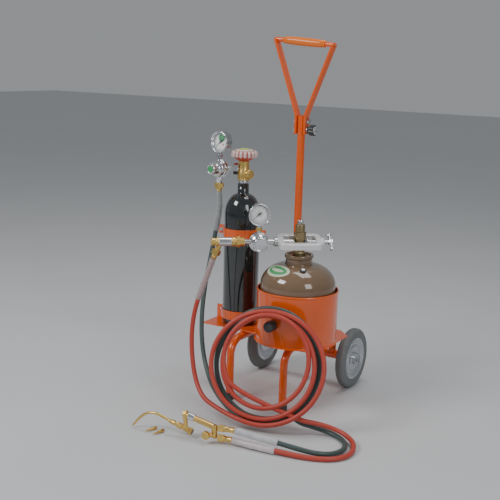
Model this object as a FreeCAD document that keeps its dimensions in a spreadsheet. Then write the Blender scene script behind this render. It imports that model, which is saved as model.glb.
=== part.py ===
import FreeCAD, Part
import math
import os
import re

import Sketcher
from FreeCAD import Placement, Rotation, Vector

# Portable oxy acetylene cart: two wheels on one axle, two tube legs, a deck plate, a tall cup
# for the acetylene cylinder, straps for the oxygen cylinder and a pole with a folding handle.
# X runs along the axle, Y to the back, Z up.  Millimetres.
# The origin is on the floor, at the middle of the cart's outline.

doc = FreeCAD.newDocument("TorchCart")
sheet = doc.addObject("Spreadsheet::Sheet", "Dims")

SIZES = {
    # place of the axle's middle, from the origin
    "centre_x": 21.0, "centre_y": 140.1,
    # wheels and axle
    "wheel_radius": 87.5, "tyre_width": 27.0, "tyre_bore": 60.0, "track": 296.0,
    "axle_radius": 8.0, "axle_tube_radius": 12.5, "hub_radius": 17.0, "hub_length": 35.0,
    "run_fit": 0.05, "washer_thick": 2.0,
    # frame
    "tube_radius": 10.85, "tube_wall": 2.3, "leg_spacing": 170.0, "leg_y": -294.0,
    "bend_radius": 45.0, "foot_radius": 13.5, "foot_height": 20.0, "foot_floor": 6.0,
    # deck plate
    "deck_top": 185.0, "deck_thick": 4.0, "deck_left": -222.0, "deck_right": 178.0,
    "deck_front_left": -233.0, "deck_front_right": -296.0, "deck_inset": 25.5, "deck_corner": 38.0,
    # acetylene cylinder and its cup
    "acetylene_x": 72.7, "acetylene_y": -208.9, "cup_radius": 111.0, "cup_height": 144.0,
    "cup_wall": 2.0, "flask_radius": 102.5, "flask_wall": 4.0, "flask_side": 152.0,
    "flask_height": 210.0, "collar_radius": 39.5, "collar_height": 26.0,
    "plug_radius": 5.0, "acetylene_valve_radius": 13.0, "gland_across": 30.0,
    # oxygen cylinder and its straps
    "oxygen_x": -137.0, "oxygen_y": -167.0, "oxygen_radius": 50.8, "oxygen_wall": 5.0,
    "oxygen_side": 315.0, "oxygen_shoulder": 62.0, "oxygen_neck": 29.0, "oxygen_neck_radius": 16.0,
    "ring_height": 10.0, "ring_radius": 13.5, "oxygen_valve_radius": 15.0,
    "strap_thick": 3.0, "strap_height": 25.0, "strap_gap": 0.4, "strap_ear": 22.0,
    "upper_strap_z": 440.0, "lower_strap_z": 203.0, "upright_width": 40.0, "upright_thick": 5.0,
    # pole and folding handle
    "pole_y": -90.0, "pole_top": 786.0, "pivot_z": 771.0, "lock_z": 747.0, "arm_thick": 6.0,
    "arm_width": 24.0, "arm_gap": 0.5, "bar_radius": 6.5, "bolt_radius": 4.0,
    "grip_z": 985.0, "grip_half": 89.0, "grip_rise": 6.5, "grip_radius": 11.5, "grip_length": 128.0,
    "knob_radius": 15.0, "knob_length": 16.0, "knob_neck": 6.0, "knob_washer": 3.0,
    "stud_reach": 14.0, "bolt_across": 13.0,
    # yoke, regulators and gauges
    "fitting_z": 456.0, "yoke_turn": 39.0, "yoke_tilt": 14.0, "yoke_length": 118.0,
    "yoke_depth": 74.0, "yoke_bar": 15.0, "yoke_height": 17.0, "screw_radius": 6.0,
    "body_radius": 27.0, "body_length": 30.0, "gauge_radius": 30.0, "gauge_depth": 28.0,
    "gauge_rise": 74.0, "hose_radius": 6.3, "sleeve_radius": 9.3, "hex_across": 22.0,
    "oxygen_outlet_z": 632.0, "wheel_knob_radius": 38.0,
    # coil of hose, hung on the hook
    "coil_half_width": 167.0, "coil_half_height": 156.0, "coil_thick": 25.0, "coil_gap": 0.4,
    "hook_z": 248.0, "hook_x": 64.0, "hook_reach": 36.0, "cap_radius": 14.5,
}
NAMES = set(SIZES)
for row, (name, value) in enumerate(SIZES.items(), 1):
    sheet.set(f"A{row}", name)
    sheet.set(f"B{row}", str(value))
    sheet.setAlias(f"B{row}", name)
doc.recompute()

WORD = re.compile(r"[a-z][a-z0-9_]*")
UP = Vector(0, 0, 1)


def bound(text):
    """The expression with each named size read from the sheet."""
    return WORD.sub(lambda m: "Dims." + m.group() if m.group() in NAMES else m.group(), str(text))


def size(text):
    """The number that an expression gives now."""
    return float(sheet.evalExpression(bound(text)))


def spot(x, y, z):
    """A point of the cart, given from the floor under the axle's middle."""
    return Vector(size(x) + size("centre_x"), size(y) + size("centre_y"), size(z))


def facing(direction, side=None):
    """A turn that brings the local Z axis onto a direction, and local X towards side."""
    side = side or Vector(0, 0, 1)
    return Rotation(side, Vector(), Vector(*direction), "ZXY")


def heading(degrees):
    """A level unit vector, turned from +X towards +Y."""
    turn = math.radians(degrees)
    return Vector(math.cos(turn), math.sin(turn), 0)


def new_body(label, place=Vector(), turn=Rotation()):
    body = doc.addObject("PartDesign::Body", label)
    body.Label = label
    body.Placement = Placement(place, turn)
    return body


def outline(body, role, corners):
    """A closed sketch of straight edges, each corner tied to the sheet."""
    sketch = body.newObject("Sketcher::SketchObject", body.Name + "_outline")
    plane = next(f for f in body.Origin.OriginFeatures if f.Role == role)
    sketch.AttachmentSupport = [(plane, "")]
    sketch.MapMode = "FlatFace"
    points = [Vector(size(x), size(y), 0) for x, y in corners]
    count = len(points)
    for i in range(count):
        sketch.addGeometry(Part.LineSegment(points[i], points[(i + 1) % count]), False)
    for i in range(count):
        sketch.addConstraint(Sketcher.Constraint("Coincident", i, 2, (i + 1) % count, 1))
    for i, (x, y) in enumerate(corners):
        for kind, text, value in (("DistanceX", x, points[i].x), ("DistanceY", y, points[i].y)):
            index = sketch.addConstraint(Sketcher.Constraint(kind, -1, 1, i, 1, value))
            sketch.setExpression(f"Constraints[{index}]", bound(text))
    return sketch


def rounds(sketch, circles):
    """Full circles (x, y, radius) added to a sketch, tied to the sheet."""
    for x, y, radius in circles:
        circle = Part.Circle(Vector(size(x), size(y), 0), Vector(0, 0, 1), size(radius))
        geo = sketch.addGeometry(circle, False)
        for kind, args, text in (("DistanceX", (-1, 1, geo, 3), x), ("DistanceY", (-1, 1, geo, 3), y),
                                 ("Radius", (geo,), radius)):
            index = sketch.addConstraint(Sketcher.Constraint(kind, *args, size(text)))
            sketch.setExpression(f"Constraints[{index}]", bound(text))
    return sketch


def empty_sketch(body, role, name):
    sketch = body.newObject("Sketcher::SketchObject", name)
    plane = next(f for f in body.Origin.OriginFeatures if f.Role == role)
    sketch.AttachmentSupport = [(plane, "")]
    sketch.MapMode = "FlatFace"
    return sketch


def revolve(body, sketch):
    turned_shape = body.newObject("PartDesign::Revolution", body.Name + "_turned")
    turned_shape.Profile = sketch
    turned_shape.ReferenceAxis = (sketch, ["V_Axis"])
    turned_shape.Angle = 360
    return turned_shape


def turned(label, corners, place=Vector(), turn=Rotation()):
    """A lathe-turned piece: (radius, height) corners spun about local Z."""
    body = new_body(label, place, turn)
    revolve(body, outline(body, "XZ_Plane", corners))
    return body


def pad(body, sketch, length, middle=False):
    solid = body.newObject("PartDesign::Pad", body.Name + "_pad")
    solid.Profile = sketch
    solid.setExpression("Length", bound(length))
    solid.Midplane = middle
    return solid


def padded(label, corners, length, place=Vector(), turn=Rotation(), middle=False):
    """A flat piece: an outline in local XY, padded along local Z."""
    body = new_body(label, place, turn)
    pad(body, outline(body, "XY_Plane", corners), length, middle)
    return body


def pocket(body, sketch, name):
    """A hole right through, both ways."""
    cut = body.newObject("PartDesign::Pocket", name)
    cut.Profile = sketch
    cut.Type = "ThroughAll"
    cut.Midplane = True
    return cut


def feature(label, shape, place=Vector(), turn=Rotation()):
    item = doc.addObject("Part::Feature", label)
    item.Label = label
    item.Shape = shape
    item.Placement = Placement(place, turn)
    return item


def rod(start, end, radius):
    """A round bar between two points."""
    along = end - start
    return Part.makeCylinder(size(radius), along.Length, start, along)


def hexagon(place, direction, across, length):
    """A hexagon bar of a given width across flats."""
    radius = size(across) / math.sqrt(3)
    along = Vector(direction).normalize()
    frame = Placement(place, facing(along, along.cross(Vector(0.3, 0.2, 0.9))))
    ring = [frame.multVec(Vector(radius * math.cos(math.radians(60 * k)),
                                 radius * math.sin(math.radians(60 * k)), 0)) for k in range(7)]
    return Part.Face(Part.makePolygon(ring)).extrude(along * size(length))


def joined(*shapes):
    """One solid from pieces that meet."""
    whole = shapes[0].multiFuse(list(shapes[1:])).removeSplitter()
    return whole.Solids[0] if len(whole.Solids) == 1 else whole


def group(shapes):
    """Separate solids in one node."""
    return Part.makeCompound(list(shapes))


# ------------------------------------------------------------------ frame
def deck_plate():
    corners = [
        ("deck_left", "deck_front_left"), ("-42", "deck_front_left"), ("-2", "deck_front_right"),
        ("deck_right - 12", "deck_front_right"), ("deck_right", "deck_front_left + 4"),
        ("deck_right", "deck_inset - wheel_radius - deck_corner"),
        ("deck_right - deck_corner", "deck_inset - wheel_radius"),
        ("deck_left + deck_corner", "deck_inset - wheel_radius"),
        ("deck_left", "deck_inset - wheel_radius - deck_corner"),
    ]
    padded("base_plate", corners, "deck_thick", spot(0, 0, "deck_top - deck_thick"))


def side_frames():
    """Each side frame is one tube: a front leg, a run under the deck and a drop to the axle tube."""
    rail_z = size("deck_top - deck_thick - tube_radius")
    bend = size("bend_radius")
    front = size("leg_y")
    back = 0.0
    foot = size("foot_floor")
    axle_top = size("wheel_radius + axle_tube_radius")
    slope = math.sqrt(0.5)
    frames = []
    for side in (-1, 1):
        x = side * size("leg_spacing / 2")
        points = [
            (front, foot), (front, rail_z - bend),
            (front + bend * (1 - slope), rail_z - bend * (1 - slope)), (front + bend, rail_z),
            (-back - bend, rail_z), (-back - bend * (1 - slope), rail_z - bend * (1 - slope)),
            (-back, rail_z - bend), (-back, axle_top - 1.5),
        ]
        p = [spot(x, y, z) for y, z in points]
        edges = [
            Part.LineSegment(p[0], p[1]).toShape(), Part.Arc(p[1], p[2], p[3]).toShape(),
            Part.LineSegment(p[3], p[4]).toShape(), Part.Arc(p[4], p[5], p[6]).toShape(),
            Part.LineSegment(p[6], p[7]).toShape(),
        ]
        path = Part.Wire(edges)
        shells = []
        for radius in (size("tube_radius"), size("tube_radius - tube_wall")):
            circle = Part.Wire(Part.makeCircle(radius, p[0], UP))
            shells.append(path.makePipeShell([circle], True, False))
        axle = rod(spot(x - 30, 0, "wheel_radius"), spot(x + 30, 0, "wheel_radius"),
                   "axle_tube_radius")
        frames.append(shells[0].cut(shells[1]).cut(axle))
    feature("side_frames", group(frames))


def foot_caps():
    """Rubber caps pushed on the legs' ends: a closed foot with a socket."""
    caps = []
    for side in (-1, 1):
        base = spot(side * size("leg_spacing / 2"), "leg_y", 0)
        outer = Part.makeCone(size("foot_radius + 1.5"), size("foot_radius"), size("foot_height"), base)
        socket = Part.makeCylinder(size("tube_radius + 0.02"), 60, base + Vector(0, 0, size("foot_floor")))
        caps.append(outer.cut(socket))
    feature("foot_caps", group(caps))


def axle():
    reach = "track / 2 - hub_length / 2 - washer_thick - 0.6"
    turn = facing((1, 0, 0))
    middle = spot(0, 0, "wheel_radius")
    body = new_body("axle_tube", middle, turn)
    sketch = rounds(empty_sketch(body, "XY_Plane", "axle_tube_rings"),
                    [("0", "0", "axle_tube_radius"), ("0", "0", "axle_radius + 0.02")])
    pad(body, sketch, f"2 * ({reach})", True)
    half = "(track / 2 + hub_length / 2 + 14)"
    bar = turned("axle_rod", [("0", f"-{half}"), ("axle_radius - 1", f"-{half}"),
                              ("axle_radius", f"-{half} + 1"), ("axle_radius", f"{half} - 1"),
                              ("axle_radius - 1", half), ("0", half)], middle, turn)
    pins = empty_sketch(bar, "XZ_Plane", "pin_holes")
    rounds(pins, [("0", f"{half} - 6", "2.1"), ("0", f"6 - {half}", "2.1")])
    pocket(bar, pins, "pin_hole")
    retainers = []
    hole = size(f"{half} - 6")
    for side in (-1, 1):
        for place in ("track / 2 - hub_length / 2 - washer_thick - 0.3", "track / 2 + hub_length / 2 + 0.3"):
            start = middle + Vector(side * size(place), 0, 0)
            ring = Part.makeCylinder(size("hub_radius - 1"), size("washer_thick"), start, Vector(side, 0, 0))
            retainers.append(ring.cut(rod(start - Vector(40, 0, 0), start + Vector(40, 0, 0),
                                          "axle_radius + 0.02")))
        x = side * hole
        pin = rod(middle + Vector(x, -15, 0), middle + Vector(x, 14, 0), "2")
        eye = Part.makeTorus(3.6, 1.4, middle + Vector(x, 17, 0), Vector(1, 0, 0))
        retainers.append(joined(pin, eye))
    feature("axle_retainers", group(retainers))


def wheels():
    """Solid rubber tyre on a pressed disc with a through hub."""
    flat = "tyre_width / 2"
    tyre = [
        ("tyre_bore", f"-{flat} + 3"), ("tyre_bore + 3", f"-{flat}"), ("wheel_radius - 9", f"-{flat}"),
        ("wheel_radius - 2.5", f"-{flat} + 4"), ("wheel_radius", f"-{flat} + 9"),
        ("wheel_radius", f"{flat} - 9"), ("wheel_radius - 2.5", f"{flat} - 4"),
        ("wheel_radius - 9", flat), ("tyre_bore + 3", flat), ("tyre_bore", f"{flat} - 3"),
    ]
    half = "hub_length / 2"
    bore = "axle_radius + run_fit"
    disc = [
        (bore, f"-{half}"), ("hub_radius", f"-{half}"), ("hub_radius", "-9"), ("26", "-7"),
        ("44", "-7"), ("tyre_bore - 8", "-10"), ("tyre_bore - 0.01", "-10"),
        ("tyre_bore - 0.01", "10"), ("tyre_bore - 8", "10"), ("44", "7"), ("26", "7"),
        ("hub_radius", "9"), ("hub_radius", half), (bore, half),
    ]
    for name, side in (("left", -1), ("right", 1)):
        place = spot(side * size("track / 2"), 0, "wheel_radius")
        turn = facing((1, 0, 0))
        turned(f"{name}_tyre", tyre, place, turn)
        turned(f"{name}_wheel_disc", disc, place, turn)


# ------------------------------------------------------------------ cylinders
def cup():
    floor = "cup_wall"
    top = "cup_height"
    corners = [
        ("0", "0"), ("cup_radius - 5", "0"), ("cup_radius - 1.5", "1.5"), ("cup_radius", "5"),
        ("cup_radius", top), ("cup_radius - cup_wall", top), ("cup_radius - cup_wall", "7"),
        ("cup_radius - cup_wall - 3", f"{floor} + 2"), ("cup_radius - 8", floor), ("0", floor),
    ]
    turned("acetylene_cup", corners, spot("acetylene_x", "acetylene_y", "deck_top"))


def dome(radius, side, height, neck, steps=6):
    """Corners of a dished end, from the straight side up to the neck."""
    corners = []
    for k in range(steps + 1):
        turn = 90 * k / steps
        corners.append((f"{neck} + ({radius} - {neck}) * cos({turn})",
                        f"{side} + ({height} - {side}) * sin({turn})"))
    return corners


def acetylene_cylinder():
    base = spot("acetylene_x", "acetylene_y", "deck_top + cup_wall")
    outer = [("0", "0"), ("flask_radius - 14", "0"), ("flask_radius - 4", "4"), ("flask_radius", "16")]
    outer += dome("flask_radius", "flask_side", "flask_height", "(collar_radius - 6)")
    inner = [("flask_radius - flask_wall", "flask_side"), ("flask_radius - flask_wall", "18"),
             ("flask_radius - 16", "flask_wall"), ("0", "flask_wall")]
    neck = [("acetylene_valve_radius", "flask_height"), ("acetylene_valve_radius", "flask_height - 8"),
            ("0", "flask_height - 8"), ("0", "flask_height - 14")]
    under = dome("(flask_radius - flask_wall)", "flask_side", "(flask_height - 14)", "(collar_radius - 8)")
    shell = turned("acetylene_shell", outer + neck + under[::-1] + inner[1:], base)
    fill = [("0", "flask_wall + 0.2"), ("flask_radius - 17", "flask_wall + 0.2"),
            ("flask_radius - flask_wall - 1", "22"), ("flask_radius - flask_wall - 1", "flask_side - 2"),
            ("flask_radius - 30", "flask_side + 20"), ("0", "flask_side + 24")]
    turned("acetylene_filler", fill, base)
    top = base + Vector(0, 0, size("flask_height"))
    rim = "collar_height"
    corners = [
        ("acetylene_valve_radius + 0.3", "0"), ("collar_radius - 3", "0"), ("collar_radius - 3", f"{rim} - 9"),
        ("collar_radius", f"{rim} - 7"), ("collar_radius", f"{rim} - 1"), ("collar_radius - 1", rim),
        ("collar_radius - 8", rim), ("collar_radius - 9", f"{rim} - 6"),
        ("acetylene_valve_radius + 9", f"{rim} - 10"), ("acetylene_valve_radius + 0.3", f"{rim} - 10"),
    ]
    turned("acetylene_collar", corners, top)
    side_of_plug = heading(309)
    lean = side_of_plug * 0.4 + UP * 0.917
    rise = math.radians(62.6)
    throat = size("collar_radius - 6")
    out = throat + (size("flask_radius") - throat) * math.cos(rise)
    height = size("flask_side") + size("flask_height - flask_side") * math.sin(rise)
    plug_place = (spot("acetylene_x", "acetylene_y", "deck_top + cup_wall") + side_of_plug * out
                  + UP * height)
    turned("fusible_plug", [("0", "-14"), ("plug_radius", "-14"), ("plug_radius", "1"),
                            ("plug_radius + 3", "1"), ("plug_radius + 3", "5"), ("plug_radius + 1", "6"),
                            ("plug_radius", "4.5"), ("0", "4.5")], plug_place, facing(lean, Vector(1, 0, 0)))
    bored = doc.addObject("Part::Cut", "acetylene_cylinder")
    bored.Base = shell
    bored.Tool = doc.getObject("fusible_plug")


def acetylene_valve():
    base = spot("acetylene_x", "acetylene_y", "deck_top + cup_wall + flask_height")
    low = size("fitting_z") - base.z
    valve = joined(Part.makeCylinder(size("acetylene_valve_radius"), low + 8, base - Vector(0, 0, 8)),
                   Part.makeCylinder(size("acetylene_valve_radius + 4"), 14,
                                     base + Vector(0, 0, size("collar_height") - 6)),
                   hexagon(base + Vector(0, 0, low - 12), UP, "gland_across - 4", "20"))
    bore_low = base + Vector(0, 0, low + 8)
    feature("acetylene_valve_body", valve)
    gland = joined(hexagon(bore_low, UP, "gland_across", "20"),
                   Part.makeCylinder(size("gland_across / 2 - 2"), 21, bore_low + Vector(0, 0, 20)))
    feature("acetylene_gland_nut", gland.cut(Part.makeCylinder(5.05, 60, bore_low)))
    stem_base = bore_low + Vector(0, 0, 8)
    turned("acetylene_spindle", [("0", "0"), ("5", "0"), ("5", "34"), ("8", "34"), ("8", "43"),
                                 ("6.5", "45"), ("0", "45")], stem_base)


def oxygen_cylinder():
    base = spot("oxygen_x", "oxygen_y", "deck_top")
    shoulder = "(oxygen_side + oxygen_shoulder)"
    outer = [("0", "0"), ("oxygen_radius - 8", "0"), ("oxygen_radius - 2", "3"), ("oxygen_radius", "10")]
    outer += dome("oxygen_radius", "oxygen_side", shoulder, "oxygen_neck_radius")
    outer += [("oxygen_neck_radius", f"{shoulder} + oxygen_neck"), ("10", f"{shoulder} + oxygen_neck"),
              ("10", f"{shoulder} + 4"), ("0", f"{shoulder} + 4"), ("0", f"{shoulder} - 6")]
    inner = dome("(oxygen_radius - oxygen_wall)", "oxygen_side", f"({shoulder} - 6)", "10")
    inner += [("oxygen_radius - oxygen_wall", "12"), ("oxygen_radius - 12", "oxygen_wall"),
              ("0", "oxygen_wall")]
    below = inner[:7][::-1]
    turned("oxygen_cylinder", outer + below + inner[7:], base)


def oxygen_neck_height():
    return "(deck_top + oxygen_side + oxygen_shoulder + oxygen_neck)"


def oxygen_valve():
    neck = oxygen_neck_height()
    place = spot("oxygen_x", "oxygen_y", neck)
    turned("oxygen_neck_ring", [("10.1", "0"), ("ring_radius", "0"), ("ring_radius", "ring_height"),
                                ("10.1", "ring_height")], place)
    top = size("ring_height")
    radius = "oxygen_valve_radius"
    outlet = heading(-21)
    height = size("oxygen_outlet_z") - 13 - place.z
    body = joined(
        Part.makeCylinder(9.9, top + 20, place - Vector(0, 0, 20)),
        Part.makeCylinder(size(radius) + 2, 28, place + Vector(0, 0, top)),
        Part.makeCylinder(size(radius), 55, place + Vector(0, 0, top)),
        Part.makeCylinder(11, 26, place + Vector(0, 0, height), outlet),
        hexagon(place + Vector(0, 0, height) + outlet * 24, outlet, "24", "7"))
    body = body.cut(Part.makeCylinder(5.05, 60, place + Vector(0, 0, top + 30)))
    feature("oxygen_valve_body", body)


def oxygen_handwheel():
    """Lobed handwheel on its own spindle."""
    place = spot("oxygen_x", "oxygen_y", oxygen_neck_height()) + Vector(0, 0, size("ring_height") + 56)
    body = turned("oxygen_handwheel", [("0", "-20"), ("5", "-20"), ("5", "0"), ("20", "0"), ("24", "4"),
                                       ("wheel_knob_radius - 4", "8"), ("wheel_knob_radius", "13"),
                                       ("wheel_knob_radius", "23"), ("wheel_knob_radius - 4", "27"),
                                       ("17", "29"), ("12", "33"), ("0", "34")], place)
    doc.recompute()
    notch = rounds(empty_sketch(body, "XY_Plane", "lobe_notch"), [("wheel_knob_radius + 3", "0", "7")])
    cut = pocket(body, notch, "lobe_cut")
    doc.recompute()
    lobes = body.newObject("PartDesign::PolarPattern", "lobes")
    lobes.Originals = [cut]
    lobes.Axis = (notch, ["N_Axis"])
    lobes.Angle = 360
    lobes.Occurrences = 8
    body.Tip = lobes


def half_strap(front, z, extra=()):
    """Half a round strap with two flat ears."""
    centre = spot("oxygen_x", "oxygen_y", z)
    inner = size("oxygen_radius + strap_gap")
    outer = inner + size("strap_thick")
    tall = size("strap_height")
    ring = Part.makeCylinder(outer, tall, centre).cut(Part.makeCylinder(inner, tall, centre))
    ear = size("strap_ear")
    thick = size("strap_thick")
    side = -1 if front else 1
    keep = Part.makeBox(4 * outer, 2 * outer, tall, centre + Vector(-2 * outer, 0.25 if not front
                                                                    else -2 * outer - 0.25, 0))
    shape = ring.common(keep)
    low = centre + Vector(0, 0.25 if side > 0 else -0.25 - thick, 0)
    ears = [Part.makeBox(ear + 1.5, thick, tall, low + Vector(inner + 1.4, 0, 0)),
            Part.makeBox(ear + 1.5, thick, tall, low + Vector(-inner - 2.9 - ear, 0, 0))]
    shape = joined(shape, *ears, *extra)
    for end in (-1, 1):
        hole = centre + Vector(end * (outer + ear * 0.55), -20, tall / 2)
        shape = shape.cut(Part.makeCylinder(3.05, 40, hole, Vector(0, 1, 0)))
    return shape


def oxygen_straps():
    inner = size("oxygen_radius + strap_gap + strap_thick")
    upright = Part.makeBox(size("upright_width"), size("upright_thick"),
                           size("upper_strap_z + strap_height - deck_top"),
                           spot("oxygen_x - upright_width / 2", size("oxygen_y") + inner - 0.9, "deck_top"))
    feature("oxygen_upright", half_strap(False, "upper_strap_z", [upright]))
    upper_strap = half_strap(True, "upper_strap_z")
    lower = spot("oxygen_x", "oxygen_y", "lower_strap_z")
    outer = inner
    drop = size("lower_strap_z - deck_top")
    brackets = []
    for end in (-1, 1):
        x = outer + size("strap_ear") - 17 if end > 0 else -outer - size("strap_ear")
        brackets.append(Part.makeBox(17, size("strap_thick"), drop + 1,
                                     lower + Vector(x, -0.25 - size("strap_thick"), -drop)))
    feature("oxygen_straps", group([upper_strap, half_strap(True, "lower_strap_z", brackets)]))
    bolts = []
    for end in (-1, 1):
        x = end * (outer + size("strap_ear") * 0.55)
        z = size("strap_height / 2 + upper_strap_z")
        thick = size("strap_thick")
        for start, tail in ((-0.27 - thick, 1), (0.27 + thick, -1)):
            seat = spot(size("oxygen_x") + x, size("oxygen_y") + start, z)
            head = hexagon(seat, Vector(0, -tail, 0), "10", "5")
            bolts.append(head)
        shank = rod(spot(size("oxygen_x") + x, size("oxygen_y") - thick - 0.3, z),
                    spot(size("oxygen_x") + x, size("oxygen_y") + thick + 0.3, z), "3")
        bolts.append(shank)
    whole = [joined(*bolts[3 * k:3 * k + 3]) for k in range(2)]
    feature("frame_bolts", group([*whole, lock_stud()]))


# ------------------------------------------------------------------ pole and handle
def pole():
    base = spot(0, "pole_y", "deck_top")
    tall = size("pole_top - deck_top")
    tube = Part.makeCylinder(size("tube_radius"), tall, base)
    tube = tube.cut(Part.makeCylinder(size("tube_radius - tube_wall"), tall, base))
    flange = Part.makeCylinder(size("tube_radius") + 14, 5, base)
    flange = flange.cut(Part.makeCylinder(size("tube_radius - tube_wall"), 5, base))
    tube = joined(tube, flange)
    for z in ("pivot_z", "lock_z"):
        tube = tube.cut(rod(spot(-40, "pole_y", z), spot(40, "pole_y", z), "bolt_radius + run_fit"))
    feature("pole", tube)


def lock_stud():
    """Fixed stud through the pole, with the washer that its hand knob clamps down on."""
    face = size("tube_radius + arm_gap + arm_thick + 0.4")
    start = spot(-face - 1, "pole_y", "lock_z")
    shank = rod(start, spot(face + size("knob_washer + stud_reach"), "pole_y", "lock_z"), "bolt_radius")
    head = hexagon(spot(-face, "pole_y", "lock_z"), (-1, 0, 0), "bolt_across", "5")
    washer = Part.makeCylinder(size("bolt_across") * 0.65, size("knob_washer"),
                               spot(face, "pole_y", "lock_z"), Vector(1, 0, 0))
    return joined(shank, head, washer)


def lock_knob():
    """Hand knob that is turned on the stud to clamp the arms."""
    start = spot(size("tube_radius + arm_gap + arm_thick + knob_washer + 0.7"), "pole_y", "lock_z")
    along = Vector(1, 0, 0)
    neck_length = size("knob_neck")
    radius = size("knob_radius")
    neck = Part.makeCylinder(0.6 * radius, neck_length, start, along)
    grip = Part.makeCylinder(radius, size("knob_length"), start + along * neck_length, along)
    for k in range(6):
        turn = math.radians(60 * k)
        out = Vector(0, math.cos(turn), math.sin(turn)) * (radius + 2)
        grip = grip.cut(Part.makeCylinder(4.2, 60, start + out, along))
    cap = Part.makeCone(radius - 2, radius - 5, 3, start + along * (neck_length + size("knob_length")), along)
    bore = Part.makeCylinder(size("bolt_radius + run_fit"), size("stud_reach") + 0.3, start, along)
    feature("clamp_knob", joined(neck, grip, cap).cut(bore))


def handle():
    """Two flat bars that straddle the pole and spread to the ends of a round cross bar."""
    gap = size("tube_radius + arm_gap")
    thick = size("arm_thick")
    pivot = size("pivot_z")
    low = size("lock_z") - 13
    high = pivot + 17
    width = size("arm_width")
    across = Vector(0, 1, 0)
    pieces = []
    bar_ends = []
    for side in (-1, 1):
        plate = Part.makeBox(thick, width, high - low,
                             spot(gap if side > 0 else -gap - thick, size("pole_y") - width / 2, low))
        bend = spot(side * (gap + thick / 2), "pole_y", high)
        end = spot(side * size("grip_half"), "pole_y", size("grip_z") - side * size("grip_rise"))
        along = end - bend
        arm = Part.makeBox(thick, width, along.Length, Vector(-thick / 2, -width / 2, 0))
        arm.Placement = Placement(bend, Rotation(Vector(), across, along, "ZYX"))
        rounded = [Part.makeCylinder(thick / 2, width, at - across * width / 2, across) for at in (bend, end)]
        pieces += [plate, arm, *rounded]
        bar_ends.append(end)
    pieces.append(rod(bar_ends[0], bar_ends[1], "bar_radius"))
    frame = joined(*pieces)
    frame = frame.cut(rod(spot(-60, "pole_y", "pivot_z"), spot(60, "pole_y", "pivot_z"), "bolt_radius + 0.02"))
    # each arm's tail has a slot, open to the back, that leaves the clamp screw as the handle folds
    slot_radius = size("bolt_radius + 0.6")
    drop = size("pivot_z - lock_z")
    slot = Part.makeCylinder(drop + slot_radius, 120, spot(-60, "pole_y", "pivot_z"), Vector(1, 0, 0))
    slot = slot.cut(Part.makeCylinder(drop - slot_radius, 120, spot(-60, "pole_y", "pivot_z"), Vector(1, 0, 0)))
    half = Part.makeBox(120, 60, 60, spot(-60, "pole_y", size("lock_z") - 30))
    mouth = slot.common(half).fuse(rod(spot(-60, "pole_y", "lock_z"), spot(60, "pole_y", "lock_z"),
                                       slot_radius))
    feature("handle_frame", frame.cut(mouth))
    middle = (bar_ends[0] + bar_ends[1]) * 0.5
    along = (bar_ends[1] - bar_ends[0]).normalize()
    half_grip = "grip_length / 2"
    bore = "bar_radius + 0.02"
    turned("grip", [(bore, f"-{half_grip}"), ("bar_radius + 2", f"-{half_grip}"),
                    ("grip_radius - 0.8", f"18 - {half_grip}"), ("grip_radius", "0"),
                    ("grip_radius - 0.8", f"{half_grip} - 18"), ("bar_radius + 2", half_grip),
                    (bore, half_grip)], middle, facing(along))
    reach = gap + thick
    head = hexagon(spot(-reach - 0.05, "pole_y", "pivot_z"), (-1, 0, 0), "bolt_across", "5")
    nut = hexagon(spot(reach + 0.05, "pole_y", "pivot_z"), (1, 0, 0), "bolt_across", "7")
    shank = rod(spot(-reach - 1, "pole_y", "pivot_z"), spot(reach + 1, "pole_y", "pivot_z"), "bolt_radius")
    feature("pivot_bolt", joined(head, nut, shank))


# ------------------------------------------------------------------ yoke and acetylene regulator
def yoke_axis():
    return heading(size("yoke_turn"))


def yoke_point(along, out=0.0, up=0.0):
    """A point given along the yoke's screw, out to the front of it, and up."""
    axis = yoke_axis()
    front = Vector(axis.y, -axis.x, 0)
    middle = spot("acetylene_x", "acetylene_y", "fitting_z")
    return middle + axis * along + front * out + Vector(0, 0, up)


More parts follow.
